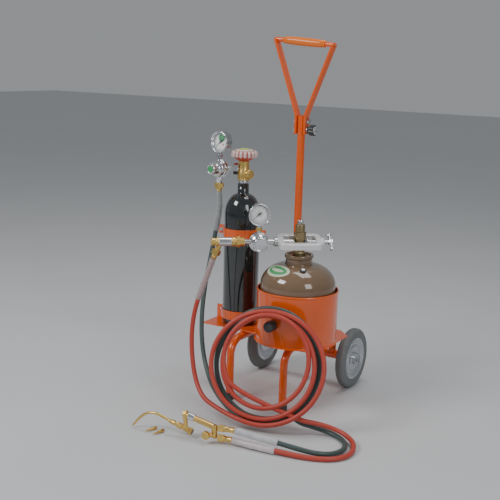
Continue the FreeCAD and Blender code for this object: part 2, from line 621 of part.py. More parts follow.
def yoke():
    """Cast stirrup round the valve: two bars and two ends, tilted about the screw."""
    half = size("yoke_length / 2")
    deep = size("yoke_depth / 2")
    bar = size("yoke_bar")
    tall = size("yoke_height")
    outer = Part.makeBox(2 * half, 2 * deep, tall, Vector(-half, -deep, -tall / 2))
    corners = [e for e in outer.Edges if abs(e.tangentAt(e.FirstParameter).z) > 0.9]
    outer = outer.makeFillet(16, corners)
    inner = Part.makeBox(2 * (half - bar), 2 * (deep - bar), 3 * tall,
                         Vector(-half + bar, -deep + bar, -1.5 * tall))
    corners = [e for e in inner.Edges if abs(e.tangentAt(e.FirstParameter).z) > 0.9]
    frame = outer.cut(inner.makeFillet(7, corners))
    boss = Part.makeCylinder(11, 10, Vector(half - 2, 0, 0), Vector(1, 0, 0))
    frame = joined(frame, boss)
    screw_hole = Part.makeCylinder(size("screw_radius + run_fit"), 40, Vector(half - bar - 5, 0, 0),
                                   Vector(1, 0, 0))
    stem_hole = Part.makeCylinder(7.02, 30, Vector(-half - 5, 0, 0), Vector(1, 0, 0))
    frame = frame.cut(screw_hole).cut(stem_hole)
    turn = Rotation(Vector(0, 0, 1), size("yoke_turn")).multiply(
        Rotation(Vector(1, 0, 0), size("yoke_tilt")))
    feature("yoke", frame, spot("acetylene_x", "acetylene_y", "fitting_z"), turn)
    axis = yoke_axis()
    tip = size("gland_across / 2 + 2")
    shank = rod(yoke_point(tip), yoke_point(half + 20), "screw_radius")
    pad_end = Part.makeCylinder(8, 5, yoke_point(tip), axis)
    hub = Part.makeCylinder(8, 14, yoke_point(half + 19), axis)
    bar_low = yoke_point(half + 27, 20, -14)
    bar_high = yoke_point(half + 25, -20, 14)
    tommy = rod(bar_low, bar_high, "3")
    balls = [Part.makeSphere(6.5, bar_low), Part.makeSphere(6.5, bar_high)]
    feature("yoke_screw", joined(shank, pad_end, hub, tommy, *balls))


def regulator_body(centre, front):
    """Round body with a stepped bonnet, facing front."""
    radius = size("body_radius")
    length = size("body_length")
    start = centre - front * (length / 2)
    drum = Part.makeCylinder(radius - 3, length, start, front)
    flange = Part.makeCylinder(radius, 7, centre - front * 3, front)
    bonnet = Part.makeCone(radius - 5, radius - 13, 14, centre + front * (length / 2 - 0.5), front)
    body = joined(drum, flange, bonnet)
    bore = Part.makeCylinder(4.05, 40, centre + front * (length / 2 - 6), front)
    return body.cut(bore)


def regulator_knob(label, centre, front, radius, length):
    """Adjusting knob on its screw, with a ribbed rim."""
    base = centre + front * (size("body_length") / 2 + 14.5)
    knob = Part.makeCylinder(radius, length, base, front)
    spin = Rotation(Vector(0, 0, 1), front)
    for k in range(12):
        turn = math.radians(30 * k)
        rim = spin.multVec(Vector(math.cos(turn), math.sin(turn), 0)) * (radius + 1.6)
        knob = knob.cut(Part.makeCylinder(2.6, length + 2, base + rim - front, front))
    shank = Part.makeCylinder(4, 18, base - front * 18 + front * 0.5, front)
    dish = Part.makeCone(radius - 3, radius - 6, 3, base + front * length, front)
    feature(label, joined(knob, shank, dish))


def gauge(centre, front):
    """Case, dial, lens and needle of a round pressure gauge; the stem hangs below."""
    radius = size("gauge_radius")
    deep = size("gauge_depth")
    back = centre - front * (deep * 0.7)
    case = Part.makeCylinder(radius, deep, back, front)
    round_back = Part.makeCone(radius - 8, radius, 5, back - front * 5, front)
    hollow = Part.makeCylinder(radius - 2.5, deep - 4, back + front * 4.01, front)
    ledge = Part.makeCylinder(radius - 2.5, 2, back + front * 14, front)
    spindle_tube = Part.makeCylinder(3, 10.6, back + front * 3, front)
    case = joined(case, round_back).cut(hollow)
    case = joined(case, spindle_tube)
    dial = ledge.cut(Part.makeCylinder(1.6, 40, back, front))
    lens = Part.makeCylinder(radius - 2.5, 2, back + front * (deep - 3.5), front)
    return case, dial, lens, back + front * 16


def needle(label, dial_point, front, turn):
    """Pointer with a counterweight, on its own spindle."""
    side = front.cross(UP).normalize()
    rise = side.cross(front).normalize()
    along = side * math.cos(math.radians(turn)) + rise * math.sin(math.radians(turn))
    across = front.cross(along)
    reach = size("gauge_radius") - 8
    base = dial_point + front * 1.6
    corners = [base - along * 8 + across * 1.4, base + along * reach, base - along * 8 - across * 1.4]
    blade = Part.Face(Part.makePolygon(corners + corners[:1])).extrude(front * 0.8)
    hub = Part.makeCylinder(2.6, 1.6, base - front * 0.2, front)
    spindle = Part.makeCylinder(1.5, 3.8, base - front * 3.8, front)
    feature(label, joined(blade, hub, spindle))


def hose_nut(start, direction):
    """Hexagon nut and ribbed tail that the hose end is pushed on to."""
    along = Vector(direction).normalize()
    nut = hexagon(start, along, "hex_across", "13")
    tail = Part.makeCylinder(8, 12, start + along * 13, along)
    return joined(nut, tail), start + along * 25


def acetylene_regulator():
    axis = yoke_axis()
    front = Vector(axis.y, -axis.x, 0)
    half = size("yoke_length / 2")
    centre = yoke_point(-112)
    stem = rod(yoke_point(-size("gland_across / 2")), yoke_point(-112), "7")
    collar = Part.makeCylinder(12, 10, yoke_point(-half - 11), axis)
    body = regulator_body(centre, front)
    stem = joined(stem, collar).cut(body)
    regulator_knob("acetylene_adjusting_knob", centre, front, 21, 15)
    top = centre + Vector(0, 0, size("gauge_rise"))
    gauge_stem = joined(Part.makeCylinder(6, 24, centre + Vector(0, 0, 22), UP),
                        hexagon(centre + Vector(0, 0, 29), UP, "15", "9"))
    nipple = joined(rod(yoke_point(-112), yoke_point(-150), "6.5"),
                    hexagon(yoke_point(-150), -axis, "20", "13"),
                    hexagon(yoke_point(-162.5), -axis, "26", "22")).cut(body)
    gauge_stem = gauge_stem.cut(body)
    feature("acetylene_regulator_body", body)
    arrestor = joined(rod(yoke_point(-184.5), yoke_point(-219), "12"),
                      rod(yoke_point(-219), yoke_point(-240), "10"))
    down = (axis * -0.40 + UP * -0.92).normalize()
    root = yoke_point(-214)
    branch = Part.makeCylinder(7, 24, root, down).cut(arrestor)
    nut, end = hose_nut(root + down * 24, down)
    feature("acetylene_outlet", group([nipple, nut]))
    feature("flashback_arrestor", joined(arrestor, branch))
    return top, front, gauge_stem, stem, end


# ------------------------------------------------------------------ oxygen regulator
def oxygen_regulator():
    valve = spot("oxygen_x", "oxygen_y", "oxygen_outlet_z")
    inlet = heading(211.7)
    front = heading(262)
    centre = valve + inlet * 68
    stem = joined(rod(valve + inlet * 13, centre, "6.5"),
                  hexagon(valve + inlet * size("oxygen_valve_radius + 1.2"), inlet, "30", "14"))
    valve_body = doc.getObject("oxygen_valve_body")
    stem = stem.cut(valve_body.Shape)
    body = regulator_body(centre, front)
    inlet_stem = stem.cut(body)
    gauge_stem = joined(Part.makeCylinder(6, 24, centre + Vector(0, 0, 22), UP),
                        hexagon(centre + Vector(0, 0, 29), UP, "15", "9")).cut(body)
    outlet = joined(Part.makeCylinder(9.5, 22, centre + Vector(0, 0, -42), UP),
                    hexagon(centre + Vector(0, 0, -56), UP, "24", "14.2")).cut(body)
    feature("oxygen_regulator_body", body)
    regulator_knob("oxygen_adjusting_knob", centre, front, 16, 10)
    tail_top = centre + Vector(0, 0, -56)
    tail = Part.makeCylinder(7.5, 9, tail_top, -UP)
    feature("oxygen_outlet", joined(outlet, tail))
    return centre + Vector(0, 0, size("gauge_rise")), heading(263), gauge_stem, inlet_stem, tail_top - UP * 9


def gauges_and_stems():
    sets = []
    stems = []
    inlets = []
    ends = []
    for build, name, turn in ((acetylene_regulator, "acetylene_needle", -40),
                              (oxygen_regulator, "oxygen_needle", -40)):
        top, front, gauge_stem, inlet_stem, hose_start = build()
        case, dial, lens, dial_point = gauge(top, front)
        sets.append((case.cut(gauge_stem), dial, lens))
        stems.append(gauge_stem)
        inlets.append(inlet_stem)
        ends.append(hose_start)
        needle(name, dial_point, front, turn)
    feature("gauge_cases", group([s[0] for s in sets]))
    feature("gauge_dials", group([s[1] for s in sets]))
    feature("gauge_lenses", group([s[2] for s in sets]))
    feature("regulator_stems", group(stems + inlets))
    return ends


# ------------------------------------------------------------------ hook, coil and hoses
def hook():
    wall_y = size("acetylene_y") - math.sqrt(size("cup_radius") ** 2
                                              - size("hook_x - acetylene_x") ** 2)
    start = spot("hook_x", wall_y + 0.5, "hook_z")
    tip = start - Vector(0, size("hook_reach") - 6, 0)
    peg = joined(rod(start + Vector(0, 0.4, 0), tip, "6"), rod(start, start - Vector(0, 3, 0), "13"))
    feature("hose_hook", peg.cut(Part.makeCylinder(size("cup_radius"), 400, spot(
        "acetylene_x", "acetylene_y", 0))))
    cap = Part.makeCylinder(size("cap_radius"), size("hook_reach") - 6, start - Vector(0, size(
        "hook_reach"), 0), Vector(0, 1, 0))
    cap = cap.makeFillet(5, [e for e in cap.Edges if len(e.Vertexes) == 1])
    feature("hook_cap", cap.cut(rod(start, tip, "6.02")))


COIL_CENTRE = (85.0, -399.0, 160.5)
COIL_UP = Vector(-45, 95, 290).normalize()


def coil_frame():
    """The coil's level axis, rising axis and front normal."""
    level = heading(15)
    level = (level - COIL_UP * level.dot(COIL_UP)).normalize()
    return level, COIL_UP, level.cross(COIL_UP)


def coil_solid(offset):
    """Outer shape of one hose's hank: an oval ring, thicker at its hanging side."""
    level, rise, normal = coil_frame()
    centre = spot(*COIL_CENTRE) + normal * offset
    turn = Rotation(level, rise, normal, "ZXY")

    def oval(shift_x, shift_y, half_width, half_height):
        middle = centre + level * shift_x + rise * shift_y
        plane = Placement(middle, turn)
        long_first = half_width >= half_height
        major, minor = (half_width, half_height) if long_first else (half_height, half_width)
        ellipse = Part.Ellipse(Vector(), major, minor)
        edge = ellipse.toShape()
        if not long_first:
            edge.rotate(Vector(), UP, 90)
        edge.Placement = plane.multiply(edge.Placement)
        return Part.Wire(edge)

    outer = Part.Face(oval(0, 0, size("coil_half_width"), size("coil_half_height")))
    inner = Part.Face(oval(12, 14, size("coil_half_width - 67"), size("coil_half_height - 44")))
    return outer.cut(inner).extrude(normal * size("coil_thick"))


def hose_path(points):
    """Straight runs joined by tangent arcs, each as large as its two runs allow."""
    edges = []
    radii = []
    last = points[0]
    for before, corner, after in zip(points, points[1:], points[2:]):
        one = (before - corner)
        two = (after - corner)
        turn = math.pi - one.getAngle(two)
        short = min(one.Length, two.Length)
        reach = 0.45 * short
        assert turn > 0.002, f"three points of a hose in line at {corner}"
        radii.append(reach / math.tan(turn / 2))
        one = one.normalize()
        two = two.normalize()
        start = corner + one * reach
        end = corner + two * reach
        bisector = (one + two).normalize()
        centre = corner + bisector * (radii[-1] / math.cos(turn / 2))
        middle = centre - bisector * radii[-1]
        edges.append(Part.LineSegment(last, start).toShape())
        edges.append(Part.Arc(start, middle, end).toShape())
        last = end
    edges.append(Part.LineSegment(last, points[-1]).toShape())
    return Part.Wire(edges), radii


def sweep(path, start, direction, radius):
    circle = Part.Wire(Part.makeCircle(radius, start, direction))
    return path.makePipeShell([circle], True, False)


def sleeve(points, length):
    """Clear protective sleeve, round the first stretch of a hose."""
    path, _ = hose_path(points)
    kept = []
    total = 0.0
    for edge in path.Edges:
        if total + edge.Length <= length:
            kept.append(edge)
        elif total < length - 1:
            first, last = edge.ParameterRange
            kept.append(edge.Curve.toShape(first, edge.getParameterByLength(length - total)))
        total += edge.Length
    part_path = Part.Wire(kept)
    direction = points[1] - points[0]
    outer = sweep(part_path, points[0], direction, size("sleeve_radius"))
    return outer.cut(sweep(part_path, points[0], direction, size("hose_radius + 0.35")))


# Routes of the stretches that aren't coiled, chosen by hand, from the floor under the axle's middle.
# The drops start at their regulators; the tails start at the torch.
RED_DROP = [(-111, -357, 398), (-119, -362, 372), (-129, -370, 338), (-141, -381, 292),
            (-148, -390, 240), (-145, -399, 186), (-132, -411, 134), (-112, -425, 91),
            (-84, -441, 62), (-52, -455, 48), (-20, -466, 43), (14, -474, 47)]
DARK_DROP = [(-190, -200, 570), (-191, -202, 535), (-193, -207, 490), (-196, -219, 437),
             (-198, -238, 370), (-197, -261, 304), (-190, -284, 240), (-176, -306, 180),
             (-155, -326, 128), (-128, -346, 90), (-96, -370, 64), (-60, -395, 49),
             (-26, -421, 44), (8, -443, 46)]
RED_TAIL = [(94, -557, 13), (138, -554, 11.5), (180, -550, 10.5), (222, -543, 9.8), (263, -535, 7.5),
            (303, -524, 7), (339, -505, 7), (362, -471, 7), (363, -430, 7), (345, -391, 12),
            (308, -370, 19), (266, -371, 27), (231, -393, 37), (205, -416, 44), (184, -434, 47)]
DARK_TAIL = [(99, -554, 38), (135, -547, 34), (170, -540, 30), (205, -532, 26), (248, -524, 21),
             (296, -511, 14), (329, -483, 9), (341, -440, 7), (327, -398, 7), (293, -371, 7),
             (253, -366, 11), (219, -378, 19), (192, -397, 29), (172, -414, 37)]


def hoses(ends):
    thick = size("coil_thick")
    gap = size("coil_gap")
    feature("red_hose_coil", coil_solid(gap))
    feature("dark_hose_coil", coil_solid(-gap - thick))
    torch_ends = torch_hose_ends()
    sleeves = []
    for label, route, start, covered in (("red_hose_drop", RED_DROP, ends[0], 115),
                                         ("dark_hose_drop", DARK_DROP, ends[1], 137),
                                         ("red_hose_tail", RED_TAIL, torch_ends[0], 110),
                                         ("dark_hose_tail", DARK_TAIL, torch_ends[1], 113)):
        points = [start] + [spot(*p) for p in route[1:]]
        path, radii = hose_path(points)
        solid = sweep(path, start, points[1] - start, size("hose_radius"))
        expected = math.pi * size("hose_radius") ** 2 * path.Length
        print(f"{label}: length {path.Length:.0f} mm, volume ratio {solid.Volume / expected:.3f}, "
              f"radii {[round(r) for r in radii]}")
        feature(label, solid)
        sleeves.append(sleeve(points, covered))
    feature("hose_sleeves", group(sleeves))


# ------------------------------------------------------------------ torch, on the floor
def torch_point(along, z, out=0.0):
    """A point of the torch: along its length, up, and out towards the front."""
    direction = heading(10)
    return spot(-180, -609, 0) + direction * along + Vector(direction.y, -direction.x, 0) * out + Vector(0, 0, z)


def torch_hose_ends():
    return torch_point(279, 13, -4), torch_point(284, 38, -6)


def torch():
    direction = heading(10)
    out = Vector(direction.y, -direction.x, 0)
    neck_points = [torch_point(2, 4.2), torch_point(20, 26), torch_point(40, 43), torch_point(66, 48.5),
                   torch_point(90, 42), torch_point(112, 33.5)]
    path, _ = hose_path(neck_points)
    neck = sweep(path, neck_points[0], neck_points[1] - neck_points[0], 3.4)
    mixer_dir = (torch_point(150, 22.5) - torch_point(100, 38)).normalize()
    mixer = joined(Part.makeCylinder(6, 24, torch_point(108, 35.6), mixer_dir),
                   hexagon(torch_point(128, 29.4), mixer_dir, "14", "20"))
    front_end = joined(neck, mixer)
    feature("torch_neck", front_end)
    block_start = torch_point(128, 29.4) + mixer_dir * 20
    block = joined(
        Part.makeCylinder(7, 14, block_start, mixer_dir),
        rod(block_start + mixer_dir * 6, torch_point(150, 60), "6"),
        hexagon(torch_point(146, 61), direction, "17", "9"),
        rod(torch_point(150, 60.5), torch_point(232, 40), "8.4"),
        rod(torch_point(231, 44), torch_point(231, 14), "7.5"),
        rod(torch_point(229, 18.5), torch_point(215, 22, 12), "5"))
    knob_bore = Part.makeCylinder(2.55, 20, torch_point(215, 22, 12) - out * 6, out)
    mixer_end = block_start + mixer_dir * 14
    mixer_bore = Part.makeCylinder(2.55, 10, mixer_end - mixer_dir * 8, mixer_dir)
    knob_room = Part.makeCylinder(11.5, 12, torch_point(215, 22, 12) + out * 0.3, out)
    feature("torch_body", block.cut(front_end).cut(knob_bore).cut(mixer_bore).cut(knob_room))
    nuts = []
    for start, end in ((torch_point(239, 40, -1.0), torch_hose_ends()[1]),
                       (torch_point(239, 14.5, -0.5), torch_hose_ends()[0])):
        along = (end - start).normalize()
        nut = joined(hexagon(start, along, "17", "18"), rod(start + along * 17, end, "7.2"))
        nuts.append(nut.cut(block))
    feature("torch_hose_nuts", group(nuts))
    for label, start, along, radius, length in (
            ("torch_acetylene_knob", torch_point(215, 22, 12) + out * 0.6, out, 10.5, 9),
            ("torch_oxygen_knob", mixer_end + mixer_dir * 0.6, mixer_dir, 9, 10)):
        knob = joined(Part.makeCylinder(radius, length, start, along),
                      Part.makeCylinder(2.5, 5, start - along * 4.8, along))
        rim = Rotation(Vector(0, 0, 1), along)
        for k in range(10):
            turn = math.radians(36 * k)
            flute = rim.multVec(Vector(math.cos(turn), math.sin(turn), 0)) * (radius + 1.1)
            knob = knob.cut(Part.makeCylinder(1.9, length + 2, start + flute - along, along))
        feature(label, knob)
    tips = []
    for start, end in (((-129, -620, 4.6), (-119, -586, 4.6)), ((-101, -624, 4.6), (-94, -588, 4.6))):
        first = spot(*start)
        along = (spot(*end) - first)
        length = along.Length
        along = along.normalize()
        tips.append(joined(Part.makeCone(1.8, 3, length * 0.6, first, along),
                           Part.makeCylinder(4.4, length * 0.4, first + along * length * 0.6, along)))
    feature("spare_tips", group(tips))


deck_plate()
side_frames()
foot_caps()
axle()
wheels()
cup()
acetylene_cylinder()
acetylene_valve()
oxygen_cylinder()
oxygen_valve()
oxygen_handwheel()
oxygen_straps()
pole()
lock_knob()
handle()
yoke()
doc.recompute()
hose_starts = gauges_and_stems()
hook()
hoses(hose_starts)
torch()
doc.recompute()

# ------------------------------------------------------------------ check and write
os.makedirs("parts", exist_ok=True)
used = {o.Base.Name for o in doc.Objects if o.TypeId == "Part::Cut"}
kinds = ("PartDesign::Body", "Part::Feature", "Part::Cut")
pieces = [o for o in doc.Objects if o.TypeId in kinds and o.Name not in used]
for item in doc.Objects:
    if "Invalid" in item.State or "Error" in item.State:
        raise RuntimeError(f"{item.Name} failed: {item.State}")
for item in pieces:
    if item.Shape.isNull() or not item.Shape.isValid() or not item.Shape.Solids:
        raise RuntimeError(f"{item.Label} has no valid shape")
for item in pieces:
    item.Shape.exportStep(f"parts/{item.Label}.step")
print(len(pieces), "nodes")
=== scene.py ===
import math

import bmesh
import bpy
from bpy.props import FloatProperty, FloatVectorProperty, PointerProperty
from mathutils import Matrix, Vector


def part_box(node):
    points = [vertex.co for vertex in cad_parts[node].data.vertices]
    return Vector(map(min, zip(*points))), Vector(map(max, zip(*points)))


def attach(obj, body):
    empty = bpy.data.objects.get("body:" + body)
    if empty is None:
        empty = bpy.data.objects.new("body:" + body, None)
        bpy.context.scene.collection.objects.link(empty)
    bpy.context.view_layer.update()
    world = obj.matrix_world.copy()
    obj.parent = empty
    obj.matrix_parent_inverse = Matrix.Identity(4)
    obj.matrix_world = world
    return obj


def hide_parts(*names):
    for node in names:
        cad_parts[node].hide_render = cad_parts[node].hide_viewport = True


bl_info = {
    "name": "Oxy acetylene torch cart",
    "version": (1, 0, 0),
    "blender": (4, 5, 0),
    "location": "View3D > Sidebar > Torch cart",
    "description": "Builds the cart's visible pieces, their finishes and a studio",
    "category": "Object",
}

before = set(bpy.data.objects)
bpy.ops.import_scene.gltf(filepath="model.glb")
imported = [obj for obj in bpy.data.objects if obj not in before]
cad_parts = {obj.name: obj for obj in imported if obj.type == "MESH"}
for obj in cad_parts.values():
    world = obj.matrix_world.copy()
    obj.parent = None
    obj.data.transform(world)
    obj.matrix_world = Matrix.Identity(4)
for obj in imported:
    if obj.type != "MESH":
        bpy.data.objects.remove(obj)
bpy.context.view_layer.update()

# Pieces are drawn in millimetres from the floor under the axle's middle, which lies here.
AXLE_MIDDLE = Vector((21.0, 140.1, 0.0))
UP = Vector((0, 0, 1))
ACETYLENE = Vector((72.7, -208.9, 0))
OXYGEN = Vector((-137.0, -167.0, 0))
POLE = Vector((0, -90.0, 0))
AXLE_HEIGHT = 87.5
RAIL_TOP = 181.0
DECK_TOP = 185.0
CLAMP_HEIGHT = 747
ACETYLENE_FITTING = 456.0
OXYGEN_FITTING = 632


def heading(degrees):
    """Level direction, turned that far from +X towards +Y."""
    return Vector((math.cos(math.radians(degrees)), math.sin(math.radians(degrees)), 0))


OXYGEN_INLET = heading(211.7)
OXYGEN_REACH = 68


def metres(point):
    """A drawn place in the shared frame."""
    return (Vector(point) + AXLE_MIDDLE) * 0.001


# ------------------------------------------------------------------ shader values and finishes
class Value:
    """A shader socket whose arithmetic adds Math nodes to its material."""

    def __init__(self, finish, socket):
        self.finish = finish
        self.socket = socket

    def _math(self, operation, first, second, clamp=False):
        return self.finish.node("ShaderNodeMath", {"operation": operation, "use_clamp": clamp},
                                [first, second])

    def __add__(self, other):
        return self._math("ADD", self, other)

    def __mul__(self, other):
        return self._math("MULTIPLY", self, other)

    def clamped(self):
        return self._math("ADD", self, 0.0, clamp=True)


class Finish:
    """A material: constants on the shader's own sockets, patterns from nodes."""

    def __init__(self, name, **constants):
        self.material = bpy.data.materials.new(name)
        self.material.use_nodes = True
        self.tree = self.material.node_tree
        self.shader = self.tree.nodes["Principled BSDF"]
        self.place = None
        for socket, value in constants.items():
            self.shader.inputs[socket.replace("_", " ")].default_value = value

    def node(self, kind, settings, inputs, output=0):
        """One node: its settings first, then its inputs by place or name."""
        node = self.tree.nodes.new(kind)
        for name, value in settings.items():
            if name == "stops":
                ramp = node.color_ramp
                while len(ramp.elements) < len(value):
                    ramp.elements.new(1.0)
                for element, (place, colour) in zip(ramp.elements, value):
                    element.position = place
                    element.color = colour if len(colour) == 4 else (*colour, 1)
            else:
                setattr(node, name, value)
        pairs = inputs.items() if isinstance(inputs, dict) else enumerate(inputs)
        for key, value in pairs:
            if isinstance(value, Value):
                self.tree.links.new(value.socket, node.inputs[key])
            elif value is not None:
                node.inputs[key].default_value = value
        return Value(self, node.outputs[output])

    def position(self):
        if self.place is None:
            self.place = self.node("ShaderNodeTexCoord", {}, [], "Object")
        return self.place

    def noise(self, scale, detail=3.0, roughness=0.55, stretch=None, distortion=0.0):
        place = self.position()
        if stretch:
            place = self.node("ShaderNodeMapping", {}, {"Vector": place, "Scale": stretch})
        return self.node("ShaderNodeTexNoise", {}, {
            "Vector": place, "Scale": scale, "Detail": detail, "Roughness": roughness,
            "Distortion": distortion})

    def spots(self, scale):
        return self.node("ShaderNodeTexVoronoi", {"feature": "F1"}, {
            "Vector": self.position(), "Scale": scale})

    def ramp(self, value, *stops):
        return self.node("ShaderNodeValToRGB", {"stops": stops}, [value])

    def mix(self, factor, first, second):
        """Colour between two others."""
        def colour(c):
            return c if isinstance(c, Value) else (*c[:3], 1)
        return self.node("ShaderNodeMix", {"data_type": "RGBA"}, {
            0: factor, 6: colour(first), 7: colour(second)}, 2)

    def feed(self, **sockets):
        for name, value in sockets.items():
            self.tree.links.new(value.socket, self.shader.inputs[name.replace("_", " ")])
        return self

    def bump(self, height, strength, distance=0.001):
        normal = self.node("ShaderNodeBump", {}, {
            "Strength": strength, "Distance": distance, "Height": height})
        return self.feed(Normal=normal)


def shade(colour, factor):
    """A colour made darker or lighter."""
    return tuple(c * factor for c in colour[:3])


def gloss_paint(name, colour, roughness=0.16, coat=0.6):
    """Sprayed gloss coat: slight orange peel, uneven tone, light dust and handling marks."""
    f = Finish(name, Coat_Roughness=0.06, IOR=1.5, Coat_Weight=coat)
    tone = f.noise(9, 4)
    marks = f.ramp(f.noise(70, 6, 0.7), (0.52, (0, 0, 0)), (0.75, (1, 1, 1)))
    base = f.mix(tone, shade(colour, 0.86), shade(colour, 1.1))
    dust = f.noise(22, 5, 0.65)
    f.feed(Base_Color=f.mix(marks * 0.05, base, (0.55, 0.5, 0.45)),
           Roughness=(dust * 0.14 + marks * 0.1 + (roughness - 0.07)).clamped())
    return f.bump(f.noise(900, 2) * 0.6 + f.noise(240, 2) * 0.4, 0.06, 0.0004)


def plated(name, colour, roughness=0.08, wear=0.25, scale=60):
    """Polished or bright plate with faint haze, fine scratches and finger marks."""
    f = Finish(name, Metallic=1.0, IOR=1.8)
    haze = f.noise(scale, 5, 0.65)
    lines = f.noise(320, 4, 0.6, (1, 1, 0.08))
    f.feed(Base_Color=f.mix(haze, shade(colour, 0.82), shade(colour, 1.08)),
           Roughness=(haze * wear * 0.5 + lines * wear * 0.25 + roughness).clamped())
    return f.bump(lines, 0.03, 0.0003)


def machined(name, colour, dark, roughness=0.22):
    """Turned metal that has dulled unevenly, darker in patches."""
    f = Finish(name, Metallic=1.0, IOR=1.6)
    patches = f.ramp(f.noise(45, 6, 0.7, distortion=0.4), (0.35, (0, 0, 0)), (0.72, (1, 1, 1)))
    turning = f.noise(500, 3, 0.5, (1, 1, 0.15))
    f.feed(Base_Color=f.mix(patches, colour, dark),
           Roughness=(patches * 0.16 + turning * 0.1 + roughness).clamped())
    return f.bump(turning, 0.05, 0.0003)


def cast_plate(name, colour):
    """Sand casting under bright zinc plate."""
    f = Finish(name, Metallic=0.45, IOR=1.6)
    grain = f.noise(260, 6, 0.7)
    tone = f.noise(30, 3)
    f.feed(Base_Color=f.mix(tone, shade(colour, 0.85), colour),
           Roughness=(grain * 0.22 + tone * 0.08 + 0.2).clamped())
    return f.bump(grain * 0.7 + f.spots(420) * 0.3, 0.3, 0.0006)


def moulded(name, colour, roughness=0.55, dust=(0.4, 0.4, 0.38), dusty=0.15, grain=700):
    """Moulded rubber or plastic with a fine grain and a little dust."""
    f = Finish(name, IOR=1.48)
    cloud = f.noise(28, 5, 0.65)
    fine = f.noise(grain, 3, 0.6)
    rubbed = f.mix(fine, shade(colour, 0.82), shade(colour, 1.18))
    f.feed(Base_Color=f.mix((cloud * dusty).clamped(), rubbed, dust),
           Roughness=(cloud * 0.16 + fine * 0.08 + (roughness - 0.12)).clamped())
    return f.bump(fine, 0.12, 0.0004)


def clear_sheath(name, tint, roughness, alpha):
    """Clear soft plastic, cloudy in places."""
    f = Finish(name, IOR=1.45, Base_Color=(*tint, 1))
    cloud = f.noise(60, 4, 0.6)
    f.feed(Alpha=(cloud * alpha + alpha * 0.5).clamped(), Roughness=cloud * 0.12 + roughness)
    return f.bump(f.noise(120, 3, 0.6), 0.15, 0.0006)


def printed_card(name, colour, ink):
    """Printed dial card."""
    f = Finish(name, Roughness=0.5, IOR=1.45)
    fine = f.noise(900, 2)
    return f.feed(Base_Color=f.mix(fine * 0.08, colour, ink)).bump(fine, 0.03, 0.0002)


def make_finishes(colours):
    """Every finish of the cart, by name."""
    rubber = colours.rubber
    return {
        "orange": gloss_paint("orange_paint", colours.frame_paint, 0.2),
        "brown": gloss_paint("brown_enamel", colours.acetylene_paint, 0.12, 0.8),
        "black": gloss_paint("black_enamel", colours.oxygen_paint, 0.07, 1.0),
        "chrome": plated("chrome_plate", (0.78, 0.79, 0.81), 0.06, 0.16),
        "zinc": plated("zinc_plate", (0.58, 0.60, 0.63), 0.14, 0.35),
        "cast": cast_plate("cast_zinc", (0.95, 0.95, 0.96)),
        "brass": machined("bright_brass", colours.brass, shade(colours.brass, 0.7)),
        "bronze": machined("dull_bronze", (0.42, 0.33, 0.18), (0.24, 0.18, 0.1), 0.3),
        "tyre": moulded("tyre_rubber", (0.13, 0.14, 0.145), 0.62, (0.36, 0.36, 0.34), 0.35),
        "rubber": moulded("black_rubber", rubber, 0.5),
        "red_hose": moulded("red_hose_rubber", colours.red_hose, 0.42, (0.55, 0.26, 0.2), 0.09),
        "dark_hose": moulded("dark_hose_rubber", colours.dark_hose, 0.38, (0.3, 0.36, 0.34), 0.2),
        "black_plastic": moulded("black_moulding", (0.015, 0.015, 0.017), 0.38),
        "grip": moulded("orange_grip", (0.86, 0.17, 0.012), 0.22, (0.95, 0.45, 0.08), 0.12),
        "sheath": clear_sheath("clear_sleeve", (0.62, 0.63, 0.64), 0.1, 0.3),
        "pale_sheath": clear_sheath("pale_sleeve", (0.9, 0.9, 0.92), 0.08, 0.42),
        "lens": clear_sheath("dial_lens", (0.97, 0.98, 1.0), 0.02, 0.03),
        "dial": printed_card("dial_card", (1.0, 1.0, 0.99), (0.9, 0.9, 0.87)),
        "ink": printed_card("dial_ink", (0.02, 0.02, 0.02), (0.06, 0.06, 0.06)),
        "green": printed_card("green_print", (0.06, 0.36, 0.13), (0.03, 0.2, 0.08)),
        "red": printed_card("red_print", (0.62, 0.08, 0.05), (0.4, 0.05, 0.03)),
        "label": printed_card("label_paper", (0.62, 0.68, 0.5), (0.5, 0.56, 0.4)),
        "button": moulded("white_button", (0.86, 0.86, 0.84), 0.3),
        "handwheel": moulded("pale_wheel", (0.74, 0.58, 0.54), 0.25, (0.85, 0.8, 0.76), 0.2),
        "cap": moulded("yellow_cap", (0.42, 0.5, 0.12), 0.3, (0.6, 0.6, 0.3), 0.15),
        "filler": moulded("porous_filler", (0.7, 0.68, 0.64), 0.8),
    }


FINISHES = {}


# ------------------------------------------------------------------ shapes, in millimetres
def facing(place, direction, turn=0.0):
    """Matrix that carries a shape drawn up +Z to a place and a direction."""
    tilt = Vector(direction).to_track_quat("Z", "Y").to_matrix().to_4x4()
    return Matrix.Translation(Vector(place)) @ tilt @ Matrix.Rotation(math.radians(turn), 4, "Z")


def edges_of(geometry):
    """The edges among an operator's results."""
    return [item for item in geometry if isinstance(item, bmesh.types.BMEdge)]


def verts_of(geometry):
    """The corners among an operator's results."""
    return [item for item in geometry if isinstance(item, bmesh.types.BMVert)]


def thicken(part, height):
    """Raises flat faces into a solid."""
    grown = bmesh.ops.extrude_face_region(part, geom=part.faces[:])
    bmesh.ops.translate(part, verts=verts_of(grown["geom"]), vec=(0, 0, height))
    return part


def lathe(*profile, steps=72, closed=False):
    """A shape turned about +Z; the profile is (radius, height) corners."""
    part = bmesh.new()
    corners = [part.verts.new((radius, 0, height)) for radius, height in profile]
    pairs = list(zip(corners, corners[1:])) + ([(corners[-1], corners[0])] if closed else [])
    edges = [part.edges.new(pair) for pair in pairs]
    bmesh.ops.spin(part, geom=corners + edges, cent=(0, 0, 0), axis=(0, 0, 1), angle=math.tau,
                   steps=steps, use_merge=True)
    return part


